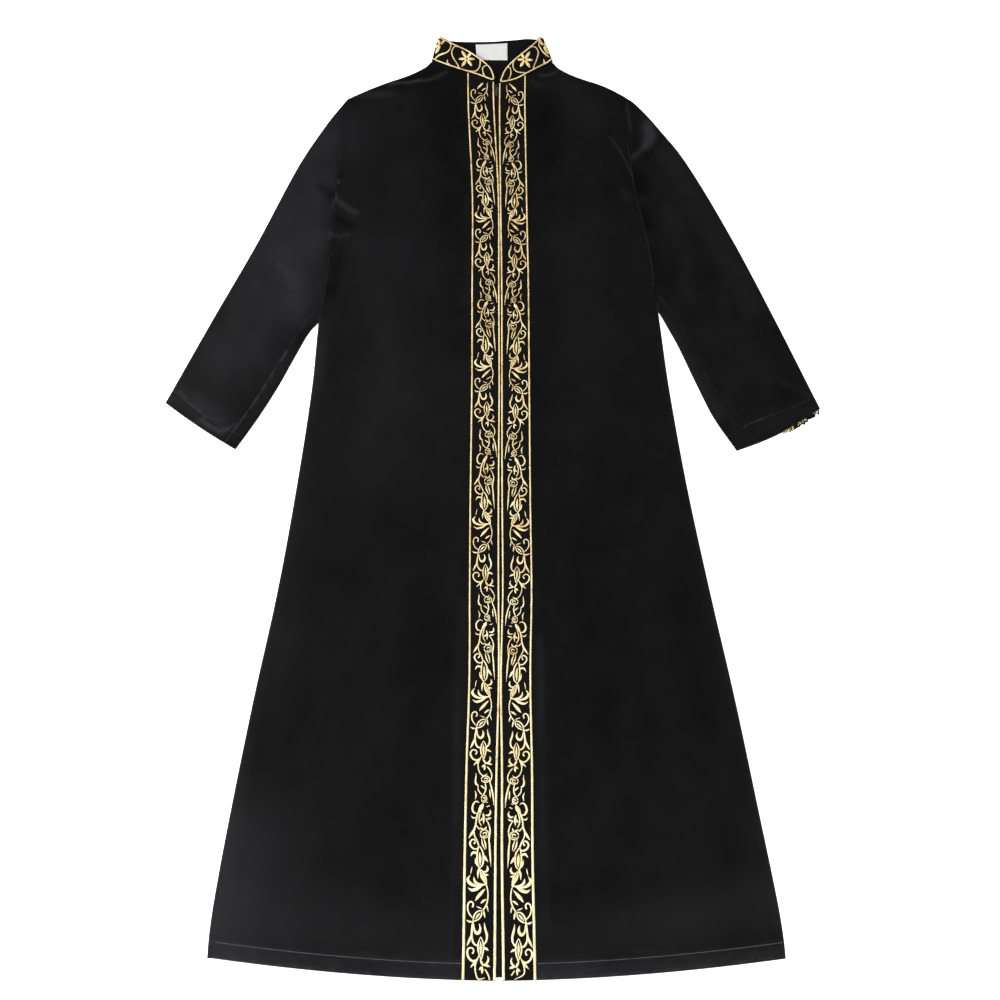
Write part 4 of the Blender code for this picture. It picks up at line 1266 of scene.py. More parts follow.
REPEAT = 240.0
REPEATS = range(-1, 5)
VINE_TOP_Y = 1311.0
VINE_FULLER_TOP, VINE_FULLER_HEM = 0.80, 1.12
VINE_SLIMMER_Y = 620
HAND_SEED, HAND_SHAKE = 41, 0.15
VINE_SHIFT = {RIGHT: -0.5, LEFT: 1.0}
LEFT_LOWER_TOP, LEFT_LOWER_HEM = 4.0, 2.0

# Each stroke is its name and its stops, as (out, down, width)
VINE = (
    ("main stem", (13.6, -1.9, 1.4), (11.5, 1.3, 1.6), (9.8, 7.7, 1.6), (9.5, 15.3, 1.6),
     (11.4, 23, 1.7), (15.9, 29.4, 1.5)),
    ("broad leaf", (12.7, 4.9, 0.6), (15.9, 7.9, 2.6), (19.7, 12.1, 4.2), (22.8, 15.6, 3),
     (25.3, 18.9, 0.4)),
    ("thin leaf", (10.7, 16.9, 0.5), (13.7, 17.9, 2.2), (16.2, 19.7, 2.4), (18.7, 21.7, 0.4)),
    ("small leaf", (11, 22.3, 0.5), (10, 26.2, 1.7), (8.8, 30.9, 0.4)),
    ("small leaf", (14.7, 28.7, 0.6), (13.9, 32.9, 2.4), (12.8, 37.5, 0.4)),
    ("dash", (24.1, 24.6, 0.5), (20.5, 26, 1.5), (16.6, 27.3, 0.6)),
    ("bud side", (16.6, 29.1, 1.2), (22, 30.1, 1.8), (26.1, 34.2, 1.9), (27.8, 40.3, 1.5)),
    ("bud side", (16.6, 29.1, 1.2), (17.5, 34.5, 1.8), (21.2, 38.6, 1.9), (27.3, 40.9, 1.4)),
    ("bud heart", (18.3, 31.3, 0.4), (22, 34.7, 2.4), (25.3, 38.6, 0.4)),
    ("left stem", (27.6, 39.8, 2), (28.6, 47.2, 2.4), (29.8, 55.5, 2.4), (32.2, 61.3, 3),
     (35.2, 66.9, 0.4)),
    ("hook", (27.9, 37.3, 1.2), (32.4, 32.9, 1.7), (34.6, 27.1, 1.9), (33.6, 21.4, 2),
     (30.1, 19.5, 2), (27.7, 22.2, 1.8), (28.8, 26, 2.4)),
    ("side leaf", (27.8, 40.9, 0.6), (31.9, 41.1, 2.6), (36.1, 39.1, 0.4)),
    ("fat hook", (26.7, 43.1, 0.8), (26.3, 48.5, 2), (24.1, 52.6, 3.2), (20.8, 52.9, 3.8),
     (18.6, 48.5, 2.8), (20.1, 42.8, 0.5)),
    ("branch", (28.7, 51.3, 1), (28.5, 59.4, 2), (25.5, 64.9, 2.4), (19.9, 66.6, 1.5)),
    ("tall leaf", (13.7, 41.6, 0.4), (12.6, 48.5, 2.4), (10.4, 55.1, 2.7), (11.2, 61.9, 2.2),
     (16.1, 66.9, 1.4)),
    ("lotus side", (18.1, 56.8, 0.8), (21.2, 64.5, 1.9), (20.8, 72.8, 1.9), (17, 80.9, 1.2)),
    ("lotus side", (18.1, 56.8, 0.8), (14.6, 64.5, 1.9), (14.9, 72.8, 1.9), (17, 80.9, 1.2)),
    ("lotus heart", (18.1, 61.3, 0.4), (17.9, 68.9, 2.8), (17.4, 77.2, 0.4)),
    ("lotus leaf", (15.5, 69.7, 0.6), (11.7, 69.3, 3.2), (7.6, 71.7, 0.4)),
    ("curl", (19.6, 76, 1), (22.4, 80.4, 2), (27.4, 82, 2.4), (32.2, 79.1, 2.4),
     (34.5, 73.8, 2.4), (32.8, 69.3, 2), (28.8, 68.7, 1.8), (26.4, 71.6, 1.7), (28.1, 74.8, 2.4)),
    ("curl leaf", (22.3, 80.4, 0.6), (26.4, 84.8, 2.4), (30.4, 88.9, 0.4)),
    ("curl leaf", (22.7, 81.2, 0.6), (24.2, 84.3, 2), (25.8, 87.4, 0.4)),
    ("right curl", (15.6, 86.6, 1.4), (10.8, 84.8, 2.3), (8.4, 80.7, 2.3), (9.8, 76.6, 0.6)),
    ("flower leaf", (13.6, 86.6, 0.6), (9.5, 86.8, 2.8), (5.8, 88.1, 0.4)),
    ("flower leaf", (18.7, 80.4, 0.6), (16.4, 83.6, 3), (14.8, 87.4, 1)),
    ("flower leaf", (15, 87.8, 0.6), (17.2, 89.1, 2.8), (19.9, 91.3, 0.4)),
    ("flower drop", (15.5, 88.3, 1), (15.7, 91.7, 3), (16.1, 95.5, 0.4)),
    ("loop left", (21.5, 80.2, 1.2), (24.3, 86.6, 1.6), (23.5, 94.2, 1.6), (20.2, 100.3, 1.6),
     (15.9, 102.1, 1.5), (12, 99.1, 0.6)),
    ("loop right", (12.7, 90, 1.2), (8.6, 95.2, 1.7), (6.3, 101.1, 1.7), (7.1, 107, 1.6),
     (9.7, 110.6, 1.4)),
    ("thin leaf", (26.6, 98, 0.4), (26.6, 103.4, 1.7), (27.3, 108.3, 2.4), (26, 112.9, 2.8),
     (22.8, 114.6, 1)),
    ("long tail", (8.9, 110, 1.6), (6.5, 117.4, 2.2), (4.4, 127.7, 2.1), (3, 141.4, 0.3)),
    ("tail leaf", (8.6, 118.7, 0.4), (8.3, 124.9, 2.1), (7.8, 131.2, 0.3)),
    ("cup left", (23.8, 114.4, 1.2), (22.8, 121.3, 1.7), (18.2, 126.6, 1.5)),
    ("cup right", (14.7, 111.1, 1.4), (13.8, 118.1, 2), (15.1, 123.8, 1.9), (17.5, 126.9, 1.3)),
    ("cup leaf", (20.5, 114.4, 0.5), (17.8, 116.4, 2.2), (14.5, 119.5, 0.6)),
    ("thin leaf", (27.8, 121, 0.4), (25.9, 126.6, 2.2), (26.9, 133, 0.4)),
    ("C hook", (21.4, 136.9, 0.8), (25.4, 134.8, 1.8), (29, 137.9, 2.4), (30.4, 144, 2.8),
     (28.1, 149.4, 2.4), (23.9, 150.1, 0.8)),
    ("knob", (16.7, 137.4, 1.4), (18.3, 141.2, 5), (20.2, 144.5, 4.6), (22.5, 148.3, 2.2)),
    ("dash", (13.5, 137.1, 0.5), (10.6, 135.6, 1.6)),
    ("dash", (12.9, 142, 0.5), (10.5, 141.2, 1.6), (7.8, 140.2, 0.5)),
    ("right curl", (8.2, 145, 0.6), (7.2, 149.6, 2.3), (10, 152.9, 2.6), (13.9, 151.9, 1)),
    ("flower leaf", (13.3, 157, 0.6), (9.6, 157, 2.6), (6, 155.2, 0.4)),
    ("flower leaf", (15.5, 155.5, 0.6), (17.9, 157.3, 2.6), (20.5, 160.1, 0.4)),
    ("flower drop", (16.9, 149.6, 0.8), (15.7, 155.7, 3), (16.1, 164.4, 0.4)),
    ("side leaf", (31.9, 152.9, 0.4), (29.1, 156, 2.2), (25, 155.2, 0.6)),
    ("left stem", (21.4, 146.3, 2.2), (23.9, 152.2, 2.3), (25.2, 158.6, 2.1), (25.9, 164.9, 2.1),
     (27.9, 171.3, 2.6), (30.9, 176.4, 3.2), (34.6, 182.3, 0.4)),
    ("loop left", (18.7, 146.3, 1), (21.2, 153.4, 1.6), (21.2, 160.6, 1.6), (18.4, 166.2, 1.2)),
    ("loop right", (13.3, 157.3, 1.2), (9.5, 163.4, 1.6), (7.4, 171.3, 1.8), (8.3, 180, 1.7),
     (9, 186.4, 1.6)),
    ("branch", (25.5, 164.7, 1), (22.4, 169, 1.7), (19.5, 170.8, 1.2)),
    ("crown", (20.5, 167.5, 0.4), (17.6, 170, 2.4), (14.9, 170.6, 1.4)),
    ("crown", (12.3, 166.2, 0.4), (13, 169, 2.4), (14.9, 170.8, 1.4)),
    ("branch", (27.9, 171.3, 1.2), (27.2, 178.2, 1.7), (24.2, 184.3, 1.7), (21.3, 191.5, 2)),
    ("second curl", (21.4, 194.3, 1.4), (26.2, 195.6, 2.1), (30.5, 193, 2.3), (32.6, 188.4, 2.3),
     (31.1, 184.3, 2.1), (27.7, 183.1, 1.8), (26, 186.1, 1.7), (27.9, 189.2, 2.4)),
    ("inner leaf", (18.3, 181.3, 0.6), (16.8, 189.7, 2.2), (13.1, 197.1, 0.4)),
    ("inner leaf", (15.7, 181.3, 0.6), (13.2, 188.9, 2), (12.2, 196.1, 0.4)),
    ("long tail", (9.3, 180, 1.4), (7.9, 191.5, 2.1), (7.1, 203, 2.3), (5.9, 218.8, 0.3)),
    ("artichoke side", (21.9, 191.5, 1.6), (23.3, 200.4, 2), (23.4, 209.4, 2.1), (22.1, 217.3, 2),
     (19.7, 220.2, 1.2)),
    ("artichoke side", (21, 191.5, 1.6), (16.7, 199.1, 2.2), (15.4, 208.1, 2.2), (16.5, 215.7, 2),
     (19.7, 220.2, 1.2)),
    ("artichoke heart", (20.2, 199.1, 0.4), (19.4, 208.1, 3.6), (19.5, 217.3, 0.6)),
    ("stalk drop", (20, 219.6, 1.8), (21.8, 225.2, 2.6), (22.4, 233.4, 0.3)),
    ("hook leaf", (22.1, 203, 1), (25.2, 200.6, 2.8), (29, 200.4, 2.9), (32, 205.3, 0.4)),
    ("right leaf", (16.6, 202.7, 1.4), (13.7, 206.6, 4), (9.4, 212.9, 0.4)),
    ("horn", (25.8, 207.1, 0.4), (25, 212.7, 2.6), (22.8, 217.3, 1.6)),
    ("right curl", (16.4, 224.4, 1), (12.1, 224.7, 2.4), (9.9, 221.1, 2.6), (11.1, 216.8, 0.5)),
    ("flower leaf", (14.2, 228, 0.6), (11.6, 228.5, 2.6), (8.5, 229, 0.4)),
    ("almond side", (19.2, 221.6, 1.2), (18.4, 229.8, 1.9), (15.3, 235.1, 1.9), (11.2, 240, 1.2)),
    ("almond side", (19.2, 221.6, 1.2), (14.7, 226.7, 1.9), (12.2, 232.9, 1.9), (11.2, 240, 1.2)),
    ("almond heart", (18, 224.9, 0.4), (15.3, 231.1, 2.4), (12.4, 236.9, 0.4)),
    ("dash", (29.6, 218, 0.4), (30.5, 222.9, 1.5), (31.5, 228, 0.4)),
    ("fan foot", (11.5, 240, 1.2), (16.9, 240.8, 2.8), (22.8, 244.9, 3.8), (29.4, 246.6, 3.2),
     (34.6, 243.6, 0.4)),
    ("fan finger", (16.2, 240.3, 1), (24.7, 241.5, 2.6), (31.6, 239, 3.8), (34.7, 233.9, 3.4),
     (31.5, 228.5, 0.4)),
    ("fan finger", (15.2, 240, 1), (22.1, 239.2, 2.6), (26.2, 235.9, 3), (27, 230.6, 0.4)),
)
ROSES = measures(
    "across down radius_across radius_down",
    (14.5, 106.6, 5.7, 4.6), (15.8, 131.7, 3.8, 4.9), (14.6, 176.2, 6.0, 5.7),
)
VINE_ROWS = measures(
    "repeat y",
    (-1, 1319), (-0.9, 1293.5), (-0.75, 1252.5), (-0.5, 1190), (-0.25, 1131.5), (0, 1073.5),
    (0.25, 1013), (0.5, 952), (0.75, 894), (1, 831.5), (1.25, 773.5), (1.5, 712.5), (1.75, 652.5),
    (2, 594), (2.5, 472.5), (2.75, 415), (3, 354), (3.25, 293), (3.5, 233), (3.75, 173.5),
    (4, 115), (4.25, 48.5), (4.4, 7), (4.6, -48),
)


def rose_strokes(rose):
    """A rose: a ring, and a line that winds in to its heart with one petal across it."""
    def at(turn, part, width):
        return (
            rose.across + part * rose.radius_across * math.cos(turn),
            rose.down + part * rose.radius_down * math.sin(turn),
            width,
        )

    return [
        ("ring", *(at(math.tau * i / 12, 0.9, 1.45) for i in range(13))),
        ("winding", *(at(0.6 + math.tau * i / 8, 0.62 - 0.055 * i, 1.3) for i in range(9))),
        ("petal", at(3.6, 0.75, 0.5), at(4.2, 0.35, 1.9), at(5.4, 0.1, 0.5)),
    ]


def vine_y(side, repeat, down):
    """The height on the robe of a place of the chart, in one repeat."""
    y = smooth(VINE_ROWS, "repeat", "y", repeat + down / REPEAT)
    if side == LEFT:
        y -= mix(LEFT_LOWER_HEM, LEFT_LOWER_TOP, min(max(y / VINE_TOP_Y, 0), 1))
    return y


drawn = list(VINE)
for rose in ROSES:
    drawn += rose_strokes(rose)
for side in (RIGHT, LEFT):
    bm = new_embroidery()
    hand = random.Random(HAND_SEED + side)
    for repeat in REPEATS:
        for _, *charted in drawn:
            stops = []
            for across, down, width in charted:
                y = vine_y(side, repeat, down)
                out = LINE_IN + across + hand.uniform(-HAND_SHAKE, HAND_SHAKE) + VINE_SHIFT[side]
                if hem_y(edge_x(side, 0) + side * out) + 1.0 < y < VINE_TOP_Y:
                    fuller = mix(VINE_FULLER_HEM, VINE_FULLER_TOP, ease(y / VINE_SLIMMER_Y))
                    stops.append((out, y, width * fuller * hand.uniform(0.92, 1.1)))
            if len(stops) > 1:
                satin_stroke(bm, side, stops, band_face(side), BAND_NUDGE)
    vine = finished(f"vine_{named(side)}", bm, gold)
    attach(vine, "thobe")
    width, length, area = BAND_CUT[side]
    lines = [f"gold_line_{named(side)}_{where}" for where in ("inner", "outer")]
    f"front_{named(side)}_panel"


# Cuff trim
# The lower layer of the left cuff reaches a few millimetres past the upper one near the outer
# fold. It shows a ragged black binding with the ends of its gold stitches.

TRIM_FROM, TRIM_TO = 0.015, 0.50
TRIM_SHOWS, TRIM_HIDDEN = 6.5, 5.0
TRIM_LEVEL = 1.5
TRIM_CLOTH = 0.6
TRIM_RAGS = 15
TRIM_STITCHES = 42
TRIM_SEED = 7
TRIM_STITCH_FROM = -1.6
TRIM_NUDGE = (0.004, 0.4)
# The share of stitches left out, and how long the others are, up to each part of the way in
TRIM_STRETCHES = measures(
    "up_to missing reach",
    (0.07, 0.0, 1.0), (0.34, 0.93, 0.6), (0.68, 0.62, 0.6), (1.0, 0.0, 1.0),
)


def trim_face(across, out):
    """A place on the binding, across the cuff from its outer fold and out past its edge."""
    edge = sleeve_place(LEFT, across, 1.0)
    way = (edge - sleeve_place(LEFT, across, 0.97)).normalized()
    spot = edge + way * out
    gathered = 0.45 * patches(spot.x, spot.y, 3.4, 3.4, 1.0)
    return Vector((*spot, TRIM_LEVEL - 0.10 * max(out, 0) + gathered))


def trim_lie(u, v):
    """The binding, thin at both ends and ragged along its edge."""
    across = mix(TRIM_FROM, TRIM_TO, u)
    ends = ease(u / 0.04) * ease((1 - u) / 0.22)
    ragged = max(0.75 + 0.75 * noise.noise((u * TRIM_RAGS, 2.0, 3.0)), 0.2)
    out = mix(-TRIM_HIDDEN, TRIM_SHOWS * ends * ragged, v)
    return trim_face(across, out)


trim = lay_cloth(
    "cuff_trim_strip", columns=90, rows=8, lie=trim_lie,
    size=(62, 9), material=band_cloth, wall=TRIM_CLOTH,
)
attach(trim, "thobe")

bm = new_embroidery()
hand = random.Random(TRIM_SEED)
for number in range(TRIM_STITCHES):
    way = (number + 0.5) / TRIM_STITCHES
    across = mix(TRIM_FROM + 0.02, TRIM_TO - 0.03, way) + hand.uniform(-0.006, 0.006)
    stretch = next(row for row in TRIM_STRETCHES if way < row.up_to)
    if hand.random() < stretch.missing:
        continue
    slant = hand.uniform(-0.014, 0.014)
    reach = TRIM_SHOWS * hand.uniform(0.60, 0.92) * stretch.reach
    stops = [
        (across, TRIM_STITCH_FROM, 1.1),
        (across + slant, mix(TRIM_STITCH_FROM, reach, 0.5), hand.uniform(1.1, 1.8)),
        (across + 2 * slant, reach, 0.8),
    ]
    satin_stroke(bm, LEFT, stops, trim_face, TRIM_NUDGE)
stitches = finished("cuff_trim_stitches", bm, gold)
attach(stitches, "thobe")


# Collar
# A stiff band collar of doubled black cloth, open at the closing line. Its back lies on the
# table, it folds over at each side, and its two fronts lie forward with their outer face up.

COLLAR_COLUMNS = "seam_x seam_y seam_z top_x top_y top_z"
COLLAR_FRONTS = {
    RIGHT: measures(
        COLLAR_COLUMNS,
        (-9.4, 1312.3, 5.4, -8.8, 1316, 5.6), (-13, 1314.5, 5.5, -10, 1326, 6.2),
        (-21, 1318.5, 5.7, -16, 1339.5, 7.2), (-36, 1325.2, 6.0, -29, 1352.5, 8.4),
        (-58, 1332.6, 6.3, -50, 1368.5, 9.6), (-82, 1341.8, 6.1, -73, 1381, 10.4),
        (-98, 1349.6, 5.2, -87, 1389.5, 10.6),
    ),
    LEFT: measures(
        COLLAR_COLUMNS,
        (-0.6, 1310.4, 5.4, -0.2, 1314, 5.6), (4, 1311.2, 5.5, 2, 1320, 6.2),
        (13, 1312.8, 5.7, 6.5, 1332, 7.2), (27, 1317.6, 6.0, 15, 1345, 8.4),
        (44, 1327.8, 6.3, 31, 1361, 9.6), (62, 1338.7, 6.1, 48, 1377, 10.4),
        (74, 1346.4, 5.2, 58.5, 1388.5, 10.6),
    ),
}
SideFold = namedtuple("SideFold", "seam_x seam_y top_x top_y")
COLLAR_SIDES = {RIGHT: SideFold(-105.5, 1353.2, -96.5, 1392), LEFT: SideFold(81.5, 1352, 67, 1393)}
SEAM_FOLD_RADIUS, TOP_FOLD_RADIUS = 2.3, 5.3
BACK_SEAM_WIDER = 1.15
COLLAR_BACK = measures(
    "x top_y",
    (-76, 1390.5), (-56, 1389), (-17, 1389.3), (23, 1392.5), (42, 1394.6),
)
COLLAR_CLOTH = 1.8
TURNED_EDGE = 0.6


def collar_sections():
    """The outer face's seam edge and top edge, from the right end round to the left end."""
    halves = []
    for side in (RIGHT, LEFT):
        half = [(Vector(row[:3]), Vector(row[3:])) for row in COLLAR_FRONTS[side]]
        fold = COLLAR_SIDES[side]
        seam_x = fold.seam_x - side * SEAM_FOLD_RADIUS
        top_x = fold.top_x - side * TOP_FOLD_RADIUS
        for degrees in (75, 40, 0, -40, -75):
            turn = math.radians(degrees)
            out = Vector((side * math.cos(turn), 0, math.sin(turn)))
            seam = Vector((seam_x, fold.seam_y, SEAM_FOLD_RADIUS)) + out * SEAM_FOLD_RADIUS
            top = Vector((top_x, fold.top_y, TOP_FOLD_RADIUS)) + out * TOP_FOLD_RADIUS
            half.append((seam, top))
        halves.append(half)
    back = [
        (Vector((row.x * BACK_SEAM_WIDER, BACK_NECK_Y - 1, 0)), Vector((row.x, row.top_y, 0)))
        for row in COLLAR_BACK
    ]
    return halves[0] + back + halves[1][::-1]


def walked_collar():
    """The collar's sections with their number and the way to them along the top edge."""
    walk, before = 0.0, None
    for number, (seam, top) in enumerate(collar_sections()):
        walk += (top - before).length if before is not None else 0.0
        before = top
        yield walk, number, *seam, *top


COLLAR = measures(f"walk number {COLLAR_COLUMNS}", *walked_collar())


def collar_at(walk, height):
    """A place on the collar's outer face, by the way along its top edge and up its height."""
    seam = Vector([smooth(COLLAR, "walk", name, walk) for name in ("seam_x", "seam_y", "seam_z")])
    top = Vector([smooth(COLLAR, "walk", name, walk) for name in ("top_x", "top_y", "top_z")])
    return seam.lerp(top, height)


def collar_face(side):
    """A place on one collar front by its section, 0 at its end and 9 at its side fold."""

    def face(section, height):
        number = section if side == RIGHT else len(COLLAR) - 1 - section
        return collar_at(smooth(COLLAR, "number", "walk", number), height)

    return face


def collar_lie(u, v):
    """The collar's outer face, from its right end round to its left end."""
    return collar_at(u * COLLAR[-1].walk, v)


collar = lay_cloth(
    "collar_band", columns=150, rows=12, lie=collar_lie,
    size=(430, 38), material=band_cloth, wall=COLLAR_CLOTH, tube=True,
)
turned = collar.modifiers.new("turned edges", "BEVEL")
turned.width = TURNED_EDGE * MM
turned.segments = 2
turned.limit_method = "ANGLE"
turned.angle_limit = math.radians(60)
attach(collar, "thobe")
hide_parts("collar")


# Collar embroidery
# A gold line runs round each collar front and its end, and scrolls and six-petalled flowers are
# worked between, all in satin stitch. Places are (section from the end, part of the height).

COLLAR_LINE = (
    (9, 0.055), (8, 0.055), (7, 0.055), (6, 0.055), (5, 0.055), (4, 0.055), (3, 0.06), (2, 0.09),
    (1.2, 0.18), (0.75, 0.36), (0.6, 0.55), (0.75, 0.74), (1.2, 0.87), (2, 0.93), (3, 0.945),
    (4, 0.95), (5, 0.95), (6, 0.95), (7, 0.95), (8, 0.95), (9, 0.95),
)
SCROLLS = {
    RIGHT: (
        ("end scroll", (6.35, -0.04, 1), (6.15, 0.18, 2.6), (5.8, 0.32, 3.2), (5.3, 0.5, 2.6),
         (5.1, 0.68, 2), (5.1, 0.88, 1.7), (5.3, 0.98, 1.2)),
        ("round left", (4.5, 0.98, 1), (4.8, 0.88, 1.7), (4.9, 0.64, 1.8), (4.75, 0.44, 1.8),
         (4.4, 0.22, 1.8), (4.2, 0.04, 1.8), (4.1, -0.02, 1.4)),
        ("round right", (4.15, -0.02, 1.4), (3.7, 0.04, 1.8), (3.15, 0.18, 1.8), (2.95, 0.5, 1.8),
         (3.0, 0.8, 1.8), (3.1, 0.98, 1.7), (3.25, 1.0, 1)),
        ("tear", (2.1, 1.0, 0.8), (2.4, 0.86, 1.6), (2.65, 0.58, 1.8), (2.55, 0.34, 1.8),
         (2.2, 0.1, 1.8), (1.7, 0.0, 1.2)),
        ("leaf", (5.0, 0.08, 0.6), (5.03, 0.16, 2), (5.05, 0.26, 0.5)),
        ("leaf", (5.0, 0.08, 0.6), (5.1, 0.08, 2), (5.2, 0.05, 0.5)),
        ("leaf", (5.0, 0.08, 0.6), (4.92, 0.1, 2), (4.8, 0.1, 0.5)),
    ),
    LEFT: (
        ("end scroll", (6.0, 0.88, 1.2), (5.8, 0.78, 1.7), (5.85, 0.58, 2), (6.1, 0.38, 2.6),
         (6.65, 0.16, 1)),
        ("round right", (4.9, 1.0, 1), (5.3, 0.8, 1.7), (5.4, 0.58, 1.8), (5.05, 0.4, 1.8),
         (4.7, 0.24, 1.8), (4.4, 0.04, 1.4)),
        ("round left", (3.9, 1.0, 1), (3.55, 0.98, 1.7), (3.25, 0.86, 1.8), (3.1, 0.62, 1.8),
         (3.25, 0.34, 1.8), (3.85, 0.04, 1.4)),
        ("tear", (2.5, 1.0, 0.8), (2.8, 0.8, 1.6), (2.7, 0.52, 1.8), (2.35, 0.28, 1.8),
         (1.8, 0.0, 1.2)),
        ("leaf", (5.6, 0.06, 0.6), (5.63, 0.14, 2), (5.65, 0.24, 0.5)),
        ("leaf", (5.6, 0.06, 0.6), (5.7, 0.08, 2), (5.8, 0.05, 0.5)),
        ("leaf", (5.6, 0.06, 0.6), (5.52, 0.1, 2), (5.4, 0.1, 0.5)),
    ),
}
WHOLE, CUT_OFF = (0, 60, 120, 180, 240, 300), (0, 60, 120, 300)
FLOWERS = {
    RIGHT: measures("section height petals", (3.9, 0.6, WHOLE), (6.15, 0.68, CUT_OFF)),
    LEFT: measures("section height petals", (4.15, 0.64, WHOLE), (6.45, 0.64, CUT_OFF)),
}
PETAL_LENGTH, PETAL_WIDTH = 12.6, 4.8
PETAL_SHAPE = ((0.08, 0.6), (0.35, 0.85), (0.6, 1.0), (0.82, 0.7), (1.0, 0.12))
COLLAR_LINE_WIDTH = 2.2
SCROLL_LOW, SCROLL_HIGH = 0.06, 0.94
COLLAR_NUDGE = (0.05, 0.02)


def petal_strokes(side, flower):
    """The lens-shaped petals of a flower, each tapering to both ends."""
    face = collar_face(side)
    centre = face(flower.section, flower.height)
    outward = face(flower.section + 0.2, flower.height) - centre
    upward = face(flower.section, flower.height + 0.1) - centre
    strokes = []
    for degrees in flower.petals:
        way = Vector((side * math.cos(math.radians(degrees)), math.sin(math.radians(degrees))))
        # The way on the picture's plane, as steps of section and height
        across = outward.x * upward.y - outward.y * upward.x
        a = (way.x * upward.y - way.y * upward.x) / across * 0.2
        b = (outward.x * way.y - outward.y * way.x) / across * 0.1
        stops = []
        for part, width in PETAL_SHAPE:
            reach = part * PETAL_LENGTH * (1 + 0.3 * abs(way.y))
            stops.append(
                (flower.section + a * reach, flower.height + b * reach, width * PETAL_WIDTH)
            )
        strokes.append(stops)
    return strokes


for side in (RIGHT, LEFT):
    bm = new_embroidery()
    line = [(section, height, COLLAR_LINE_WIDTH) for section, height in COLLAR_LINE]
    satin_stroke(bm, side, line, collar_face(side), COLLAR_NUDGE, height=LINE_HEIGHT)
    edge = finished(f"collar_line_{named(side)}", bm, gold)
    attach(edge, "thobe")
    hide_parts(f"collar_border_{named(side)}")

    bm = new_embroidery()
    worked = [stops for _, *stops in SCROLLS[side]]
    for flower in FLOWERS[side]:
        worked += petal_strokes(side, flower)
    for stops in worked:
        kept = [(a, min(max(b, SCROLL_LOW), SCROLL_HIGH), width) for a, b, width in stops]
        satin_stroke(bm, side, kept, collar_face(side), COLLAR_NUDGE)
    scrolls = finished(f"collar_scrolls_{named(side)}", bm, gold)
    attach(scrolls, "thobe")


sewn_on = [
    f"collar_{part}_{named(side)}" for part in ("line", "scrolls") for side in (RIGHT, LEFT)
]


# Neck label
# A blank woven label inside the back of the collar, sewn down along its short sides.

LABEL_CENTRE_X = -13.0
LABEL_SIZE = (49.0, 30.0)
LABEL_LOW_Y = 1354.5
LABEL_TOP = 2.55
LABEL_CLOTH = 0.4
LABEL_LEAN, LABEL_TILT_LOW, LABEL_TILT_HIGH = 1.6, -0.8, 2.6
LABEL_CORNER_RISE, LABEL_WAVE = 0.5, 0.22
LABEL_ROW_IN, LABEL_ROW_UP, LABEL_ROW_LENGTH = 1.8, 1.5, 27


def white_weave(name):
    """Close white cloth with a fine rib across it."""
    cloth = Finish(name)
    weave = cloth.add("ShaderNodeUVMap", {}, uv_map="weave")["UV"]
    ribs = cloth.add(
        "ShaderNodeTexWave", {"Vector": weave, "Scale": 9.0, "Distortion": 0.6},
        bands_direction="Y",
    )["Fac"]
    bump = cloth.add("ShaderNodeBump", {"Height": ribs, "Strength": 0.4, "Distance": 0.05 * MM})
    # Painted shade: the colour is darker between the ribs, where the bump lies low
    dark, light = (0.43, 0.427, 0.422), (0.58, 0.58, 0.575)
    return cloth.shader({
        "Base Color": cloth.shades(ribs, (0.0, dark), (1.0, light)),
        "Roughness": 0.55,
        "Normal": bump["Normal"],
    })


def label_lie(u, v):
    """The label lies a little askew, with lifted corners and a slight wave."""
    x = LABEL_CENTRE_X + (u - 0.5) * LABEL_SIZE[0]
    y = LABEL_LOW_Y + v * LABEL_SIZE[1]
    corner = (abs(2 * u - 1) ** 6) * (abs(2 * v - 1) ** 6)
    x += LABEL_LEAN * (1 - u) * (1 - v)
    y += (u - 0.5) * mix(LABEL_TILT_LOW, LABEL_TILT_HIGH, v)
    z = LABEL_TOP + LABEL_CORNER_RISE * corner + LABEL_WAVE * patches(x, y, 9, 9, 9.0)
    return x, y, z


label = lay_cloth(
    "blank_neck_label", columns=30, rows=20, lie=label_lie,
    size=LABEL_SIZE, material=white_weave("white_woven_label"), wall=LABEL_CLOTH,
)
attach(label, "thobe")
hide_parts("neck_label")

white_thread = plain_thread("white_thread", colour=(0.75, 0.74, 0.72), roughness=0.5)
for side in (RIGHT, LEFT):
    def label_line(t, side=side):
        x = LABEL_CENTRE_X + side * (LABEL_SIZE[0] / 2 - LABEL_ROW_IN)
        return Vector((x, LABEL_LOW_Y + LABEL_ROW_UP + t, LABEL_TOP + THREAD_RISE))

    stitches = sew_row(
        f"label_stitches_{named(side)}", label_line, LABEL_ROW_LENGTH, white_thread,
        pitch=2.6, stitch=2.0,
    )
    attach(stitches, "thobe")


# Table and light
# A plain white table, one large soft light from the left, a weak one from the right, one from
# beyond the hem, and a dim even room.

FLOOR_SIZE = 9.0
ROOM_COLOUR, ROOM_STRENGTH = (0.97, 0.98, 1.0, 1), 0.30

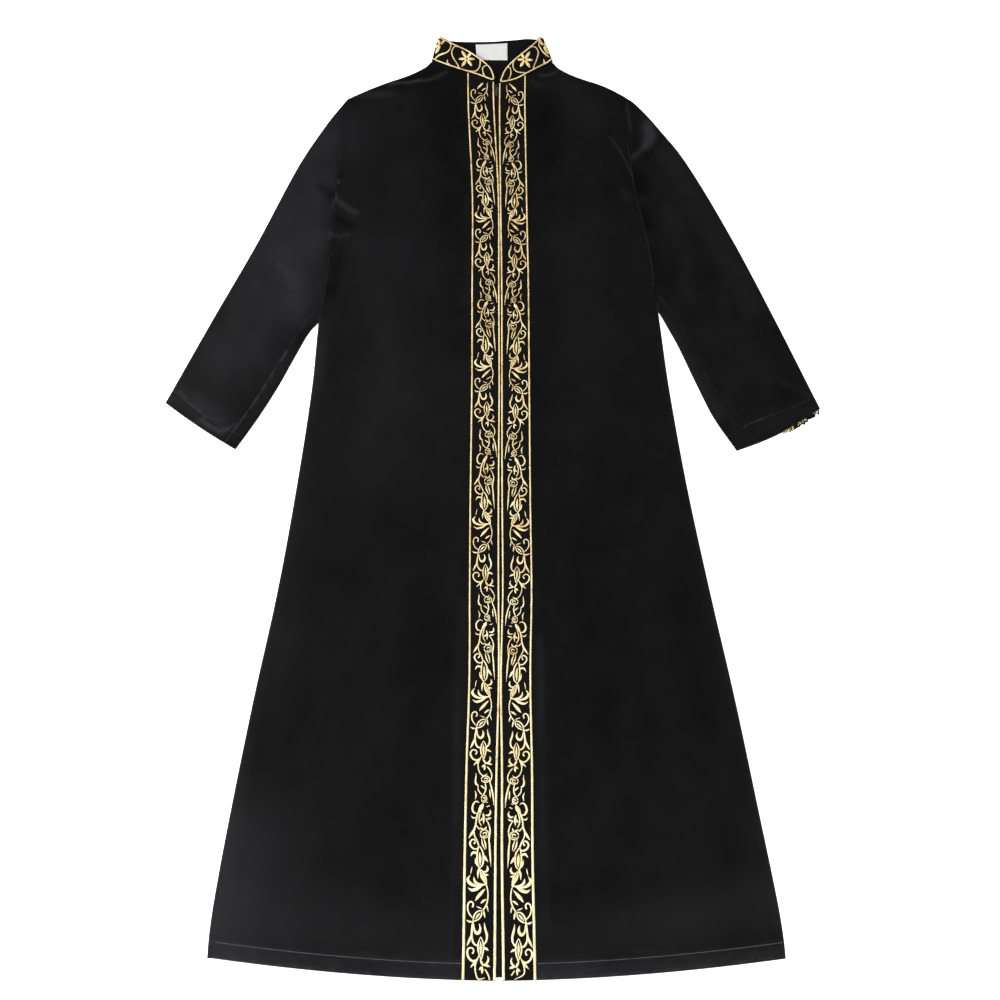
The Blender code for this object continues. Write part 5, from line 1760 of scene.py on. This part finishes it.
bm = bmesh.new()
bmesh.ops.create_grid(bm, x_segments=1, y_segments=1, size=FLOOR_SIZE / 2)
white = Finish("white_table").shader({
    "Base Color": (0.92, 0.92, 0.92, 1),
    "Roughness": 0.9,
    "Specular IOR Level": 0.0,
    "Emission Color": (1, 1, 1, 1),
    "Emission Strength": 0.75,
})
table = finished("table_top", bm, white)
table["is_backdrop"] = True

world = bpy.data.worlds.new("room")
bpy.context.scene.world = world
world.use_nodes = True
room = world.node_tree.nodes["Background"].inputs
room["Color"].default_value = ROOM_COLOUR
room["Strength"].default_value = ROOM_STRENGTH


def soft_light(name, place, aim, width, power, colour):
    """A square lamp that faces its aim."""
    light = bpy.data.lights.new(name, "AREA")
    light.shape = "SQUARE"
    light.size = width
    light.energy = power
    light.color = colour
    lamp = bpy.data.objects.new(name, light)
    lamp.location = place
    lamp.rotation_euler = (Vector(aim) - Vector(place)).to_track_quat("-Z", "Y").to_euler()
    bpy.context.collection.objects.link(lamp)


soft_light(
    "window_side", place=(-2.0, 0.6, 1.6), aim=(0, 0, 0), width=1.6, power=90, colour=(1, 1, 1)
)
soft_light(
    "fill_side", place=(2.0, 0.2, 1.9), aim=(0, 0, 0), width=1.6, power=45, colour=(1, 0.99, 0.97)
)
soft_light(
    "hem_side", place=(-0.5, -1.9, 1.5), aim=(0, -0.4, 0), width=1.2, power=40, colour=(1, 1, 1)
)


# Camera
# Above the robe and a little below its hem, looking down at it as the photograph does.

LENS = 54.0
AIM = Vector((0.0105, -0.0655, 0.0))
DISTANCE = 2.0625
SENSOR_WIDTH = 36.0
FROM_AIM = DISTANCE * Vector((0.0, -0.3512, 0.9363))

camera = bpy.data.cameras.new("camera")
camera.lens = LENS
camera.sensor_width = SENSOR_WIDTH
view = bpy.data.objects.new("camera", camera)
view.location = AIM + FROM_AIM
view.rotation_euler = (-FROM_AIM).to_track_quat("-Z", "Y").to_euler()
bpy.context.collection.objects.link(view)
bpy.context.scene.camera = view
bpy.context.scene.view_settings.view_transform = "Standard"

boxes = {"cad": solid_box, "visual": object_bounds()}
{name: [list(map(float, corner)) for corner in box] for name, box in boxes.items()}
